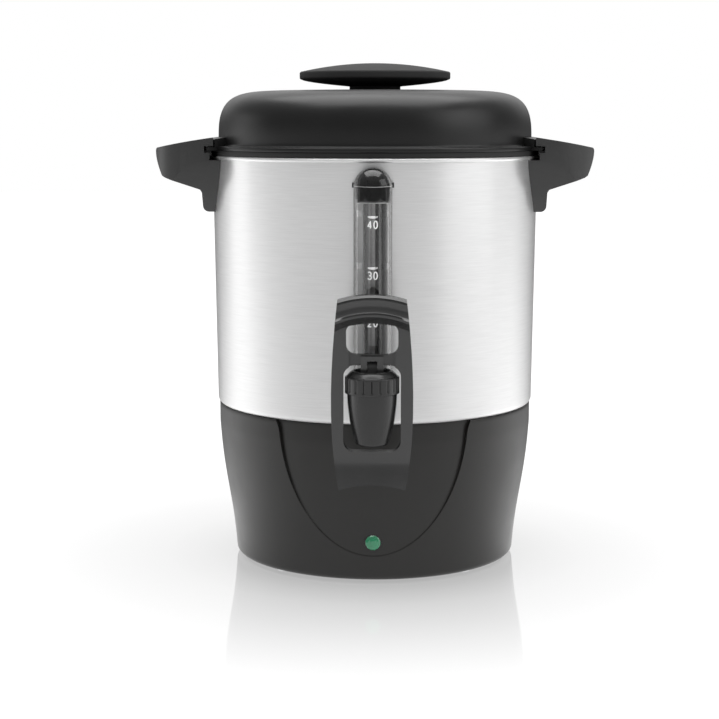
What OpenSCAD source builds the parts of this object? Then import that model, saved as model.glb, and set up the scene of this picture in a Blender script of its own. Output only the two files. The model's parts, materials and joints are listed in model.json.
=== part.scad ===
// Forty-cup coffee urn: a steel vessel on a moulded base, with a percolator inside,
// a sight gauge and a push-lever faucet in front, and a twist-lock lid.
// Millimetres. Z is up from the table, the vessel's axis is X = Y = 0 and the faucet faces -Y.

/* [Vessel] */
// Outer radius of the vessel just above its bottom corner
vessel_r = 115.8; // [108:0.1:124]
// How much wider the vessel is at its rim
vessel_flare = 2.4; // [0:0.1:5]
// Height from the seam on the base to the top of the rolled rim
vessel_h = 180.5; // [160:0.5:200]
// Thickness of the vessel's steel sheet
sheet = 1; // [0.6:0.1:1.5]
// Radius of the corner between wall and floor
vessel_corner = 4; // [2.5:0.1:7]
// Radius of the rolled bead at the rim
bead_r = 1.45; // [1.2:0.05:2]
// Inner radius of the heating well in the floor
well_r = 39; // [35:0.5:46]
// Depth of the heating well
well_depth = 10; // [8:0.5:14]
// Radius of the studs welded under the floor
stud_r = 2; // [1.5:0.1:2.5]
// Distance of the four floor studs from the axis
stud_ring_r = 94; // [90:0.5:98]

/* [Base] */
// Height of the base, from the table to the seam
base_h = 114; // [104:1:126]
// How far the base's upper band stands inside the vessel's wall
base_setback = 1.1; // [0.6:0.1:2.4]
// How much narrower the base is at its foot
base_taper = 12.1; // [8:0.1:15]
// Height of the plumb band under the seam
base_band = 14; // [8:0.5:22]
// Wall of the moulded base
base_wall = 3; // [2.4:0.1:3.6]
// Inner radius of the shelf that the vessel stands on
shelf_r = 84; // [80:0.5:88]
// Height of the standing ring under the bottom cover
foot_h = 2; // [1.8:0.1:4]
// Gap between the standing ring and the heads of the bottom cover's screws
foot_ring_gap = 3.3; // [1:0.1:8]
// Width of the standing ring
foot_ring_w = 6; // [4:0.5:10]
// Thickness of the bottom cover
cover_t = 2.5; // [2:0.1:4]
// Radius of the base's bottom edge
edge_r = 4; // [2:0.1:5]
// Radius of the screw bosses for the bottom cover
boss_r = 5; // [4:0.1:6]
// Height of the screw bosses
boss_h = 34; // [24:1:44]

/* [Front panel] */
// Half width of the recessed panel, at the height where it is widest
panel_half_w = 66; // [52:0.5:76]
// Height of the panel's lowest point above the table
panel_low_z = 19; // [14:0.5:22]
// Depth of the panel's step under the seam
panel_depth = 2.6; // [1:0.1:3.4]
// Radius of the power light's lens
lens_r = 5.3; // [4:0.1:7]
// Height of the power light above the table
lens_z = 29.8; // [29:0.5:40]

/* [Lid] */
// Height of the lid's dome above its flange
lid_h = 39.5; // [34:0.5:48]
// Wall of the moulded lid
lid_wall = 2.5; // [2:0.1:3.2]
// How far the dome's wall stands in from the flange's edge
lid_step = 6.2; // [5:0.1:8]
// Thickness of the lid's flange
flange_t = 2.9; // [2.4:0.1:3.6]
// Height of the sealing ring between the rim and the flange
seal_h = 3.8; // [3:0.1:5]
// Length of the skirt that centres the lid in the vessel's mouth
skirt_drop = 8; // [5:0.5:12]
// Half of the angle that each locking lug covers
lug_half_deg = 22.7; // [16:0.1:26]
// How far the locking tab reaches past the flange's edge
tab_reach = 8; // [5:0.1:9]
// Thickness of the locking tab
tab_t = 2.3; // [1.6:0.1:2.8]

/* [Knob] */
// Radius of the knob's disc
knob_r = 54.7; // [44:0.1:62]
// Height of the knob above the lid
knob_h = 19.6; // [15:0.1:24]
// Thickness of the knob's rim
knob_rim_t = 5.8; // [4:0.1:6.5]
// Radius of the knob's stem
knob_stem_r = 18.5; // [14:0.1:24]

/* [Handles] */
// How far each handle reaches out from the rim of the vessel
handle_reach = 39.3; // [36:0.1:50]
// Width of each handle, from front to back
handle_w = 94; // [84:0.5:104]
// Wall of the moulded handle
handle_wall = 3.2; // [2.4:0.1:4]
// Length of the leg that lies against the vessel, down from the rim
handle_leg = 40.3; // [36:0.1:48]
// Height of the handle's tip
tip_h = 20; // [16:0.5:22]
// Radius of the tip's corners, seen from above
tip_corner = 30; // [20:0.5:36]
// Half of the distance between a handle's two screws
handle_screw_y = 15; // [10:0.5:20]

/* [Faucet] */
// Height of the faucet's shank above the vessel's floor
faucet_rise = 16; // [15:0.5:22]
// Distance from the vessel's wall to the spout's axis
faucet_reach = 44; // [42:0.5:50]
// Outer radius of the shank
shank_r = 9; // [8:0.1:10]
// Radius of the bore in the shank
shank_bore_r = 5; // [4:0.1:5.5]
// Radius of the spout at its mouth
mouth_r = 11.5; // [10.5:0.1:12.5]
// Radius of the spout under the bonnet
spout_r = 16.3; // [15:0.1:16.7]
// Distance from the shank's axis down to the spout's mouth
spout_drop = 20.7; // [19:0.1:24]
// Distance from the shank's axis up to the bonnet
neck_rise = 13.7; // [12:0.1:16]
// Radius of the outlet in the spout
outlet_r = 5.5; // [4.5:0.1:6]
// Radius of the valve's chamber
chamber_r = 11.5; // [10.5:0.1:12]
// Radius of the ribbed bonnet
bonnet_r = 17.8; // [17.2:0.1:18.3]
// Height of the bonnet's ribbed ring
bonnet_h = 11.1; // [10:0.1:13]
// Height of the bonnet's dome above the ring
bonnet_dome = 3.8; // [2:0.1:4.6]
// Number of ribs round the bonnet
rib_count = 20; // [12:1:26]

/* [Lever] */
// Height of the lever's grip above its pin
grip_up = 48; // [42:0.5:56]
// Length of the lever below its pin
pad_down = 79.9; // [76:0.1:90]
// Half width of the lever at its widest
lever_half_w = 26.8; // [25:0.1:29]
// Half width of the window that the spout stands in
window_half_w = 18.75; // [18.6:0.05:20]
// Front-to-back thickness of the lever's bars
lever_t = 8.5; // [6:0.1:10]
// Radius of the pin that joins the lever and the stem
pin_r = 1.6; // [1.2:0.1:2]
// How far the stem lifts when the lever is pushed home
stem_lift = 2.4; // [1.8:0.1:3]

/* [Sight gauge] */
// Outer radius of the gauge's tube
tube_r = 6.5; // [5.5:0.1:7.2]
// Wall of the gauge's tube
tube_wall = 1.2; // [0.8:0.1:1.6]
// Outer radius of the clear shield round the tube
shield_r = 12.9; // [12.2:0.1:14]
// Wall of the clear shield
shield_wall = 1.5; // [1.2:0.1:1.8]
// Distance from the vessel's rim down to the top of the shield
gauge_drop = 5.5; // [4:0.1:9]
// Length of the cap on top of the tube
cap_len = 21; // [16:0.5:24]

/* [Percolator] */
// Outer radius of the pump tube
pump_r = 4.75; // [4:0.05:5.5]
// Wall of the pump tube
pump_wall = 0.8; // [0.6:0.1:1]
// Radius of the coffee basket
basket_r = 82; // [70:0.5:90]
// Height of the coffee basket
basket_h = 56; // [46:0.5:60]
// Depth of the basket's floor below the rim
basket_drop = 32.5; // [28:0.5:40]
// Sheet of the basket and its cover
basket_t = 0.8; // [0.6:0.1:1.2]
// Radius of the holes in the basket and its cover
drip_r = 1.5; // [1:0.1:2]
// Gap between the pump tube's top and the inside of the lid
tube_gap = 8; // [6:0.5:12]
// Free travel of the valve washer on the pump tube
washer_lift = 3; // [2:0.1:3.5]

/* [Heating and inlet] */
// Radius of the main heater's plate
heater_r = 34; // [32:0.5:37]
// Thickness of the main heater's plate
heater_t = 5; // [4:0.1:6]
// Radius of the heater's sheathed element
element_r = 3.2; // [2.6:0.1:3.6]
// Height of the power inlet's centre above the table
inlet_z = 42; // [40:0.5:48]
// Half width of the inlet's socket
inlet_half_w = 15; // [13.5:0.5:18]
// Half height of the inlet's socket
inlet_half_h = 10; // [8:0.5:12]
// Depth of the inlet's socket
inlet_depth = 20; // [16:0.5:24]
// Radius of the inlet's two pins
inlet_pin_r = 2; // [1.6:0.1:2.4]
// Half of the distance between the inlet's pins
inlet_pin_x = 6.5; // [6:0.1:7.5]
// Radius of the wires inside the base
wire_r = 1.3; // [1:0.1:1.6]

/* [Fits] */
// Gap between pieces that move past each other
run_gap = 0.3; // [0.2:0.05:0.5]
// Gap round a screw, a stud or a pushed-in piece
fit_gap = 0.1; // [0.05:0.01:0.2]
// Radius of the screws
screw_r = 1.9; // [1.5:0.1:2.2]
// Radius of the screws' heads
head_r = 4; // [3.4:0.1:4.6]
// Height of the screws' heads
head_h = 1.6; // [1.2:0.1:1.7]

/* [Hidden] */
$fn = 96;
wide_fn = 288; // for circles as wide as the vessel
over = 1; // how far a cutting shape runs past the face it cuts
far = 400; // longer than any piece

// Levels
rim_z = base_h + vessel_h;
flange_z = rim_z + seal_h;
dome_z = flange_z + flange_t;
lid_top_z = dome_z + lid_h;
floor_z = base_h + sheet;
well_z = base_h - well_depth;
cover_z = foot_h + cover_t;

// Radii round the axis
vessel_top_r = vessel_r + vessel_flare;
mouth_in_r = vessel_top_r - sheet;
bead_out = 0.35; // how far the bead's middle stands outside the wall's face
bead_mid_r = vessel_top_r + bead_out;
flange_r = bead_mid_r + bead_r;
lid_wall_r = flange_r - lid_step;
base_foot_r = vessel_r - base_setback - base_taper;

// ---------- curves and small helpers ----------

// Points on an arc about [x, y]
function arc(x, y, r, from, to, n) = [for (i = [0:n])
    let (a = from + (to - from) * i / n) [x + r * cos(a), y + r * sin(a)]];

function clamp(v, low, high) = min(max(v, low), high);
function mix(a, b, t) = a + (b - a) * t;

// Outer radius of the vessel at height z
function vessel_at(z) = mix(vessel_r, vessel_top_r,
    clamp((z - base_h - vessel_corner) / (vessel_h - vessel_corner - bead_r), 0, 1));

// Outer radius of the base at height z: a slow S from the foot to the plumb band
sway = 0.4;
function base_at(z) = let (t = clamp(z / (base_h - base_band), 0, 1))
    base_foot_r + base_taper * (t - sway * sin(360 * t) / (2 * PI));

// Superellipse that gives the lid its flat crown and round shoulder
dome_power = 3.6;
function dome_pts(r, h, n) = [for (i = [0:n]) let (a = 90 * i / n)
    [r * pow(cos(a), 2 / dome_power), h * pow(sin(a), 2 / dome_power)]];

module ring(outer, inner, h) {
    difference() {
        cylinder(r = outer, h = h);
        translate([0, 0, -over]) cylinder(r = inner, h = h + 2 * over);
    }
}

// A round cylinder that runs from y = from to y = to
module rod_y(r, from, to) { translate([0, from, 0]) rotate([-90, 0, 0]) cylinder(r = r, h = to - from); }

// The same along X
module rod_x(r, from, to) { translate([from, 0, 0]) rotate([0, 90, 0]) cylinder(r = r, h = to - from); }

// A plane outline in X and Z, drawn out from y = from to y = to
module slab_y(from, to) { translate([0, to, 0]) rotate([90, 0, 0]) linear_extrude(to - from) children(); }

// A plane outline in Y and Z, drawn out from x = -half to x = half
module slab_x(half) {
    translate([-half, 0, 0]) rotate([90, 0, 90]) linear_extrude(2 * half) children();
}

module at_each(count, r, start) {
    for (i = [0:count - 1]) rotate(start + 360 * i / count) translate([r, 0, 0]) children();
}

// Round-cornered rectangle about the middle
module soft_rect(w, h, r) {
    square([w - 2 * r, h], center = true);
    square([w, h - 2 * r], center = true);
    for (x = [-1, 1], y = [-1, 1]) translate([x * (w / 2 - r), y * (h / 2 - r)]) circle(r = r);
}

// Pan-head screw: head below z = 0, shank up
module screw(len) {
    translate([0, 0, -head_h]) cylinder(r = head_r, h = head_h);
    cylinder(r = screw_r, h = len);
}

// Tube swept along a route of points, with a ring of sides at each point
function unit(v) = v / norm(v);
function along(p, i) = unit(p[min(i + 1, len(p) - 1)] - p[max(i - 1, 0)]);
function side_of(d) = unit(cross(d, abs(d[2]) < 0.9 ? [0, 0, 1] : [1, 0, 0]));
function ring_at(p, i, r, sides) = let (d = along(p, i), u = side_of(d), v = cross(d, u))
    [for (k = [0:sides - 1]) p[i] + r * (cos(360 * k / sides) * u + sin(360 * k / sides) * v)];
module sweep(p, r, sides) {
    n = len(p);
    points = [for (i = [0:n - 1]) each ring_at(p, i, r, sides)];
    faces = concat([[for (k = [0:sides - 1]) k]],
        [for (i = [0:n - 2], k = [0:sides - 1]) let (m = (k + 1) % sides)
            [i * sides + k, i * sides + sides + k, i * sides + sides + m, i * sides + m]],
        [[for (k = [sides - 1:-1:0]) (n - 1) * sides + k]]);
    polyhedron(points, faces);
}

// Smooth route through hand-picked points
wire_steps = 6;
function curve_at(a, b, c, d, t) = 0.5 * (2 * b + (c - a) * t + (2 * a - 5 * b + 4 * c - d) * t * t
    + (3 * b - a - 3 * c + d) * t * t * t);
function smooth(p) = let (n = len(p)) concat([for (i = [0:n - 2], s = [0:wire_steps - 1])
    curve_at(p[max(i - 1, 0)], p[i], p[i + 1], p[min(i + 2, n - 1)], s / wire_steps)], [p[n - 1]]);

// ---------- base ----------

// The base's half outline from the axis up to height top, grown by grow
skirt_steps = 16;
function skirt_pts(grow, top) = let (z0 = foot_h + edge_r) concat([[0, foot_h]],
    arc(base_at(z0) - edge_r + grow, z0, edge_r, -90, 0, 5),
    [for (i = [1:skirt_steps]) let (z = mix(z0, top, i / skirt_steps)) [base_at(z) + grow, z]]);

// The panel's surface: flush at its lowest point, deeper towards the seam
panel_least = 0.3; // the step that is left at the lowest point
function panel_in(z) = panel_least
    + (panel_depth - panel_least) * clamp((z - panel_low_z) / (base_h - panel_low_z), 0, 1);
function panel_pts(inset) = concat([[0, foot_h]],
    [for (i = [0:skirt_steps]) let (z = mix(foot_h, base_h + over, i / skirt_steps))
        [base_at(z) - panel_in(z) - inset, z]], [[0, base_h + over]]);

// Outline of the panel: half an ellipse that hangs from above the seam, flared at its top corners
panel_mid_z = base_h + 6;
panel_flare = 2;
panel_flare_h = 9;
function panel_half(z) = panel_half_w * sqrt(1 - pow((panel_mid_z - z) / (panel_mid_z - panel_low_z), 2))
    + panel_flare * pow(clamp((z - base_h + panel_flare_h) / panel_flare_h, 0, 1), 2);
panel_steps = 26;
function panel_z(i) = mix(panel_low_z, base_h, 1 - cos(90 * i / panel_steps));
module panel_outline() {
    side = [for (i = [1:panel_steps]) [panel_half(panel_z(i)), panel_z(i)]];
    polygon(concat([[0, panel_low_z]], side,
        [[panel_half(base_h), base_h + over], [-panel_half(base_h), base_h + over]],
        [for (i = [panel_steps:-1:1]) [-side[i - 1][0], side[i - 1][1]]]));
}

shelf_z = base_h - base_wall;
base_rim_w = 5.4; // width of the base's bottom rim, round the cover
cover_hole_r = base_at(foot_h + edge_r) - base_rim_w;
cover_r = cover_hole_r - run_gap;
cover_screw_r = cover_r - boss_r - 1;
foot_ring_r = cover_screw_r - head_r - foot_ring_gap;
inlet_wall = 2;
inlet_lip = 1.2; // how far the inlet's rim stands proud of the base

module inlet_block(grow, from, to) {
    translate([0, 0, inlet_z]) slab_y(from, to)
        soft_rect(2 * (inlet_half_w + inlet_wall + grow), 2 * (inlet_half_h + inlet_wall + grow),
            inlet_corner + grow);
}

module base_housing() color([0.16, 0.16, 0.17]) {
    chamfer = 0.8;
    difference() {
        rotate_extrude() polygon(concat(skirt_pts(0, base_h - chamfer),
            [[base_at(base_h) - chamfer, base_h], [0, base_h]]));
        difference() {
            rotate_extrude() polygon(concat(
                [[0, foot_h - over], [cover_hole_r, foot_h - over], [cover_hole_r, cover_z]],
                [for (i = [0:skirt_steps]) let (z = mix(cover_z + 1.5, shelf_z, i / skirt_steps))
                    [base_at(z) - base_wall, z]], [[0, shelf_z]]));
            intersection() {
                slab_y(-far, 0) union() {
                    panel_outline();
                    for (s = [-1, 1]) translate([s * base_wall, 0]) panel_outline();
                }
                difference() {
                    cylinder(r = far, h = shelf_z + over);
                    rotate_extrude() polygon(panel_pts(base_wall));
                }
            }
            at_each(4, cover_screw_r, 45) {
                translate([0, 0, cover_z]) cylinder(r = boss_r, h = boss_h);
                translate([0, -1, cover_z]) cube([4 * boss_r, 2, boss_h]);
            }
        }
        intersection() {
            slab_y(-far, 0) panel_outline();
            difference() {
                cylinder(r = far, h = base_h + over);
                rotate_extrude() polygon(panel_pts(0));
            }
        }
        cylinder(r = shelf_r, h = base_h + over);
        at_each(4, stud_ring_r, 0) translate([0, 0, shelf_z - over])
            cylinder(r = stud_r + fit_gap, h = base_wall + 2 * over);
        at_each(4, cover_screw_r, 45) translate([0, 0, cover_z - over])
            cylinder(r = screw_r + fit_gap, h = cover_screw_len + over);
        translate([0, 0, lens_z]) rod_y(lens_r + fit_gap, -far, -base_at(lens_z) + 3 * base_wall);
        inlet_block(fit_gap, base_at(inlet_z) - 2 * inlet_depth, far);
    }
}

cover_screw_len = 14;
vent_pitch = 9; // distance from one slot of the bottom cover to the next
vent_w = 3;
vent_len = 44;
vent_corner = 1.4;
module base_cover() color([0.12, 0.12, 0.13]) {
    difference() {
        union() {
            translate([0, 0, foot_h]) cylinder(r = cover_r, h = cover_t);
            ring(foot_ring_r, foot_ring_r - foot_ring_w, foot_h + over);
        }
        at_each(4, cover_screw_r, 45) cylinder(r = screw_r + fit_gap, h = cover_z + over);
        // Slots that let the base breathe
        for (i = [-3:3]) translate([vent_pitch * i, 0, 0])
            linear_extrude(cover_z + over) soft_rect(vent_w, vent_len, vent_corner);
    }
}

module base_screws() color("silver")
    at_each(4, cover_screw_r, 45) translate([0, 0, foot_h]) screw(cover_screw_len);

// ---------- vessel ----------

faucet_z = base_h + faucet_rise;
faucet_wall = vessel_at(faucet_z);
handle_screw_drop = 14; // how far the handles' screws lie below the rim
handle_screw_z = rim_z - handle_screw_drop;
ear_z = rim_z - gauge_drop - shield_r + 1;
ear_x = shield_r - 1.2;

// The vessel's half outline: floor, corner, wall
module vessel_outline(inset) {
    corner = vessel_corner - inset;
    top = rim_z + (inset > 0 ? over : -bead_r / 2);
    polygon(concat(
        [[0, base_h + inset]],
        arc(vessel_r - vessel_corner, base_h + vessel_corner, corner, -90, 0, 8),
        [[vessel_top_r - inset, rim_z - bead_r], [vessel_top_r - inset, top], [0, top]]));
}

// All that lies inside the vessel's outer face
module vessel_core() rotate_extrude($fn = wide_fn) polygon([[0, base_h], [vessel_r, base_h],
    [vessel_r, base_h + vessel_corner], [vessel_top_r, rim_z - bead_r], [vessel_top_r, rim_z], [0, rim_z]]);

// Puts a screw through the wall from inside: a radial place at distance off from the line at bearing
module wall_place(bearing, off, z, head) {
    r = sqrt(pow(vessel_at(z - head) - sheet, 2) - head * head) - fit_gap / 2;
    rotate(bearing + asin(off / r)) translate([r, 0, z]) rotate([0, 90, 0]) children();
}
module handle_screw_places() {
    for (side = [0, 180], s = [-1, 1])
        wall_place(side, s * handle_screw_y, handle_screw_z, head_r) children();
}
module gauge_screw_places() {
    for (s = [-1, 1]) wall_place(-90, s * ear_x, ear_z, small_head_r) children();
}

module vessel() color([0.78, 0.78, 0.79]) {
    difference() {
        union() {
            rotate_extrude() difference() {
                union() {
                    vessel_outline(0);
                    translate([bead_mid_r, rim_z - bead_r]) circle(r = bead_r);
                }
                vessel_outline(sheet);
            }
            at_each(4, stud_ring_r, 0) translate([0, 0, base_h - stud_len])
                cylinder(r = stud_r, h = stud_len + sheet / 2);
        }
        translate([0, 0, base_h - over]) cylinder(r = well_r, h = sheet + 2 * over);
        translate([0, 0, faucet_z]) rod_y(shank_r + fit_gap, -far, 0);
        handle_screw_places() translate([0, 0, -over])
            cylinder(r = screw_r + fit_gap, h = sheet + 2 * over);
        gauge_screw_places() translate([0, 0, -over])
            cylinder(r = small_screw_r + fit_gap, h = sheet + 2 * over);
    }
}

// The pressed cup that is brazed under the floor, with the stud that holds the heater up to it
well_flange = 6;
module heating_well() color([0.7, 0.7, 0.71]) {
    difference() {
        union() {
            translate([0, 0, well_z]) cylinder(r = well_r + sheet, h = base_h - well_z);
            translate([0, 0, base_h - sheet]) cylinder(r = well_r + well_flange, h = sheet);
        }
        translate([0, 0, well_z + sheet]) cylinder(r = well_r, h = far);
    }
    translate([0, 0, nut_low_z - stud_end])
        cylinder(r = centre_stud_r, h = well_z - nut_low_z + stud_end + sheet / 2);
}

nut_r = 4.2;
nut_h = 3.2;
stud_end = 1.5; // how far a stud reaches past its nut
stud_len = base_wall + nut_h + stud_end;
module vessel_nuts() color("silver") at_each(4, stud_ring_r, 0) translate([0, 0, shelf_z - nut_h])
    difference() {
        cylinder(r = nut_r, h = nut_h, $fn = 6);
        translate([0, 0, -over]) cylinder(r = stud_r + fit_gap / 2, h = nut_h + 2 * over);
    }

// ---------- heating ----------

centre_stud_r = 2.5;
centre_nut_r = 5;
centre_nut_h = 3.5;
plate_z = well_z - heater_t;
coil_ring_r = heater_r - 9; // radius of the ring that the element lies in
coil_open = 20; // half of the angle that the element's ring leaves open
terminal_r = element_r + 0.8;
terminal_drop = 16;
strap_t = 2;
strap_w = 14;
strap_leg_y = coil_ring_r + element_r + 1; // the strap's legs stand just outside the element
strap_top_z = plate_z - element_r - 1.2;
nut_low_z = strap_top_z - strap_t - centre_nut_h;

module main_heater() color([0.6, 0.6, 0.62]) {
    difference() {
        union() {
            translate([0, 0, plate_z]) cylinder(r = heater_r, h = heater_t);
            // The element runs nearly all the way round and turns down into its two terminals
            translate([0, 0, plate_z]) rotate(coil_open) rotate_extrude(angle = 360 - 2 * coil_open)
                translate([coil_ring_r, 0]) circle(r = element_r);
            for (a = [-1, 1]) rotate(a * coil_open) translate([coil_ring_r, 0, plate_z - terminal_drop])
                cylinder(r = terminal_r, h = terminal_drop + over);
        }
        translate([0, 0, plate_z - over]) cylinder(r = centre_stud_r + fit_gap, h = heater_t + 2 * over);
    }
}

module heater_bracket() color("silver") {
    low = strap_top_z - strap_t;
    difference() {
        translate([-strap_w / 2, -strap_leg_y - strap_t, low])
            cube([strap_w, 2 * (strap_leg_y + strap_t), plate_z - low]);
        translate([-strap_w, -strap_leg_y, strap_top_z]) cube([2 * strap_w, 2 * strap_leg_y, far]);
        translate([0, 0, low - over]) cylinder(r = centre_stud_r + fit_gap, h = strap_t + 2 * over);
    }
}

module heater_nut() color("silver") translate([0, 0, nut_low_z]) difference() {
    cylinder(r = centre_nut_r, h = centre_nut_h, $fn = 6);
    translate([0, 0, -over]) cylinder(r = centre_stud_r + fit_gap / 2, h = centre_nut_h + 2 * over);
}

warm_len = 34;
warm_w = 18;
warm_t = 3.5;
warm_x = (well_r + shelf_r) / 2;
lead_r = 1.5; // radius of the terminals that the wires end on
module warming_heater() color([0.72, 0.69, 0.6]) {
    translate([-warm_x, 0, base_h - warm_t]) linear_extrude(warm_t) soft_rect(warm_w, warm_len, 2);
    for (y = [-1, 1]) translate([-warm_x, y * warm_len / 4, base_h - 2 * warm_t])
        cylinder(r = lead_r, h = warm_t);
}

thermostat_r = 10;
thermostat_h = 9;
thermostat_at = [40, 48];
thermostat_lead_x = 4.5;
lead_len = 5;
module thermostat() color([0.3, 0.28, 0.26]) translate([thermostat_at[0], thermostat_at[1], base_h]) {
    translate([0, 0, -thermostat_h / 3]) cylinder(r = thermostat_r, h = thermostat_h / 3);
    translate([0, 0, -thermostat_h]) cylinder(r = 0.8 * thermostat_r, h = thermostat_h);
    for (x = [-1, 1]) translate([thermostat_lead_x * x, 0, -thermostat_h - lead_len])
        cylinder(r = lead_r, h = lead_len + over);
}

fuse_r = 2.2;
fuse_len = 12;
fuse_at = [52, -28];
module thermal_fuse() color([0.75, 0.72, 0.6]) translate([fuse_at[0], fuse_at[1], fuse_z]) {
    rod_y(fuse_r, -fuse_len / 2, fuse_len / 2);
    // The clip that holds it against the floor
    translate([0, 0, 0.6 * fuse_r]) cube([4 * fuse_r, fuse_len / 2, 1.2 * fuse_r], center = true);
}

// ---------- power inlet, wires and light ----------

inlet_back_y = base_at(inlet_z) - inlet_depth;
inlet_pin_len = 15;
tail = 6; // length of each pin's tail inside the base
inlet_corner = 3;
module inlet_housing() color([0.1, 0.1, 0.11]) difference() {
    intersection() {
        inlet_block(0, inlet_back_y - inlet_wall, far);
        rotate_extrude() polygon(concat(skirt_pts(inlet_lip, base_h), [[0, base_h]]));
    }
    translate([0, 0, inlet_z]) slab_y(inlet_back_y, far)
        soft_rect(2 * inlet_half_w, 2 * inlet_half_h, inlet_corner - 1);
    for (x = [-1, 1]) translate([x * inlet_pin_x, 0, inlet_z]) rod_y(inlet_pin_r, 0, far);
}

module inlet_pins() color("silver") for (x = [-1, 1]) translate([x * inlet_pin_x, 0, inlet_z]) {
    rod_y(inlet_pin_r, inlet_back_y - inlet_wall - tail, inlet_back_y + inlet_pin_len - inlet_pin_r);
    translate([0, inlet_back_y + inlet_pin_len - inlet_pin_r, 0]) sphere(r = inlet_pin_r);
}

// Each wire leaves one terminal straight, bends through its points and meets the next one straight
stub = 3;
wire_run = 16; // how far the first wire runs on before it bends
tail_y = inlet_back_y - inlet_wall - tail;
thermostat_low = base_h - thermostat_h - lead_len;
fuse_z = base_h - 1.2 * fuse_r;
element_end = [for (a = [1, -1])
    [coil_ring_r * cos(coil_open), a * coil_ring_r * sin(coil_open), plate_z - terminal_drop]];
thermostat_end = [for (x = [-1, 1])
    [thermostat_at[0] + x * thermostat_lead_x, thermostat_at[1], thermostat_low]];
fuse_end = [for (y = [1, -1]) [fuse_at[0], fuse_at[1] + y * fuse_len / 2, fuse_z]];
down = [0, 0, -1];
// For each wire: start, its direction, the points between, the end's direction, end
wires = [
    [[-inlet_pin_x, tail_y, inlet_z], [0, -1, 0],
        [[-8, tail_y - wire_run, inlet_z + 2], [0, 50, 52], [12, 30, 60]], down, element_end[0]],
    [[inlet_pin_x, tail_y, inlet_z], [0, -1, 0],
        [[9, tail_y - 12, inlet_z + 4], [24, 64, 60], [34, 56, 78]], down, thermostat_end[0]],
    [thermostat_end[1], down, [[thermostat_end[1][0] + 3, thermostat_at[1] - 6, thermostat_low - 8],
        [62, 20, 90], [58, -6, fuse_z - 4]], [0, 1, 0], fuse_end[0]],
    [fuse_end[1], [0, -1, 0],
        [[fuse_at[0] - 2, fuse_end[1][1] - 9, fuse_z - 4], [44, -38, 90], [32, -22, 72]],
        down, element_end[1]]
];
function route(w) = concat([w[0]],
    smooth(concat([w[0] + stub * w[1]], w[2], [w[4] + stub * w[3]])), [w[4]]);
module wiring() color([0.75, 0.1, 0.08]) for (w = wires) sweep(route(w), wire_r, 8);

lens_rim = 0.95; // width of the dark rim round the lens
lens_proud = 1.6;
lens_face_y = -(base_at(lens_z) - panel_in(lens_z));
lens_back_y = lens_face_y + base_wall + 2;
module indicator_lens() color([0.2, 0.75, 0.25]) {
    difference() {
        translate([0, 0, lens_z]) {
            rod_y(lens_r + lens_rim, lens_face_y - lens_proud / 2, lens_face_y + base_wall);
            translate([0, lens_face_y - lens_proud / 2, 0]) rotate([90, 0, 0]) rotate_extrude()
                polygon(concat([[0, 0]],
                    [for (p = arc(0, 0, lens_r, 0, 90, 10)) [p[0], p[1] * lens_proud / lens_r]]));
        }
        rotate_extrude() polygon(panel_pts(0));
    }
    translate([0, 0, lens_z]) rod_y(lens_r, lens_face_y, lens_back_y);
}

lamp_len = 18;
lamp_r = lens_r - 1.3;
module indicator_lamp() color([0.85, 0.6, 0.4]) translate([0, lens_back_y, lens_z]) {
    rod_y(lamp_r, 0, lamp_len);
    for (x = [-1, 1]) translate([x * lamp_r / 2, 0, 0]) rod_y(lamp_r / 8, lamp_len - over, 1.6 * lamp_len);
}

// ---------- handles ----------

tip_x = vessel_top_r + handle_reach;
tip_round = 3;
tip_lean = 5.8; // how far the tip's face leans in towards its lower edge
hook_slope = 0.135;
hook_droop = 0.001;
hook_rise = 13; // height of the handle's top over the rim, where it meets the lid
function handle_top(x) = let (d = x - lid_wall_r) rim_z + hook_rise - hook_slope * d - hook_droop * d * d;
tip_top_z = handle_top(tip_x - tip_round);
tip_low_z = tip_top_z - tip_h;
under_drop = 24; // how far below the rim the underside starts, next to the leg
leg_t = 4.8;
leg_z = rim_z - handle_leg;
lug_r = flange_r + 2;
notch_r = flange_r + 5.6;
slot_r = flange_r + tab_reach + 1;
hook_r = lug_r + 1;
slot_low_z = flange_z - 1.6;
slot_high_z = flange_z + tab_t + 0.8;
notch_z = rim_z - 2 * bead_r - fit_gap;
cavity_x = slot_r + 2.5;

// The tip's leaning face, drawn in by inset
tip_steps = 6;
function tip_face(inset, high, low) = [for (i = [0:tip_steps])
    let (z = mix(high, low, i / tip_steps),
        u = clamp((tip_top_z - tip_round - z) / (tip_h - tip_round), 0, 1.4))
    [tip_x - inset - tip_lean * pow(u, 1.4), z]];
top_steps = 8;
module handle_side() {
    start = vessel_r - 10;
    polygon(concat(
        [for (i = [0:top_steps]) let (x = mix(start, tip_x - tip_round, i / top_steps)) [x, handle_top(x)]],
        arc(tip_x - tip_round, tip_top_z - tip_round, tip_round, 75, 15, 4),
        tip_face(0, tip_top_z - tip_round, tip_low_z),
        [[tip_x - tip_lean - 2.5, tip_low_z - 1.4], [vessel_top_r + leg_t + 1.2, rim_z - under_drop]],
        [[vessel_top_r + leg_t, rim_z - under_drop - 2]],
        arc(vessel_top_r + leg_t - 4, leg_z + 4, 4, 0, -90, 5),
        [[start, leg_z]]));
}
module handle_hollow() {
    polygon(concat([[cavity_x, leg_z - over]],
        [for (i = [0:top_steps]) let (x = mix(cavity_x, tip_x - handle_wall - 1, i / top_steps))
            [x, handle_top(x) - handle_wall]],
        tip_face(handle_wall, tip_top_z - handle_wall - 1.5, tip_low_z - 2 * over),
        [[tip_x - handle_wall - 2 * tip_lean, leg_z - over]]));
}
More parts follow.
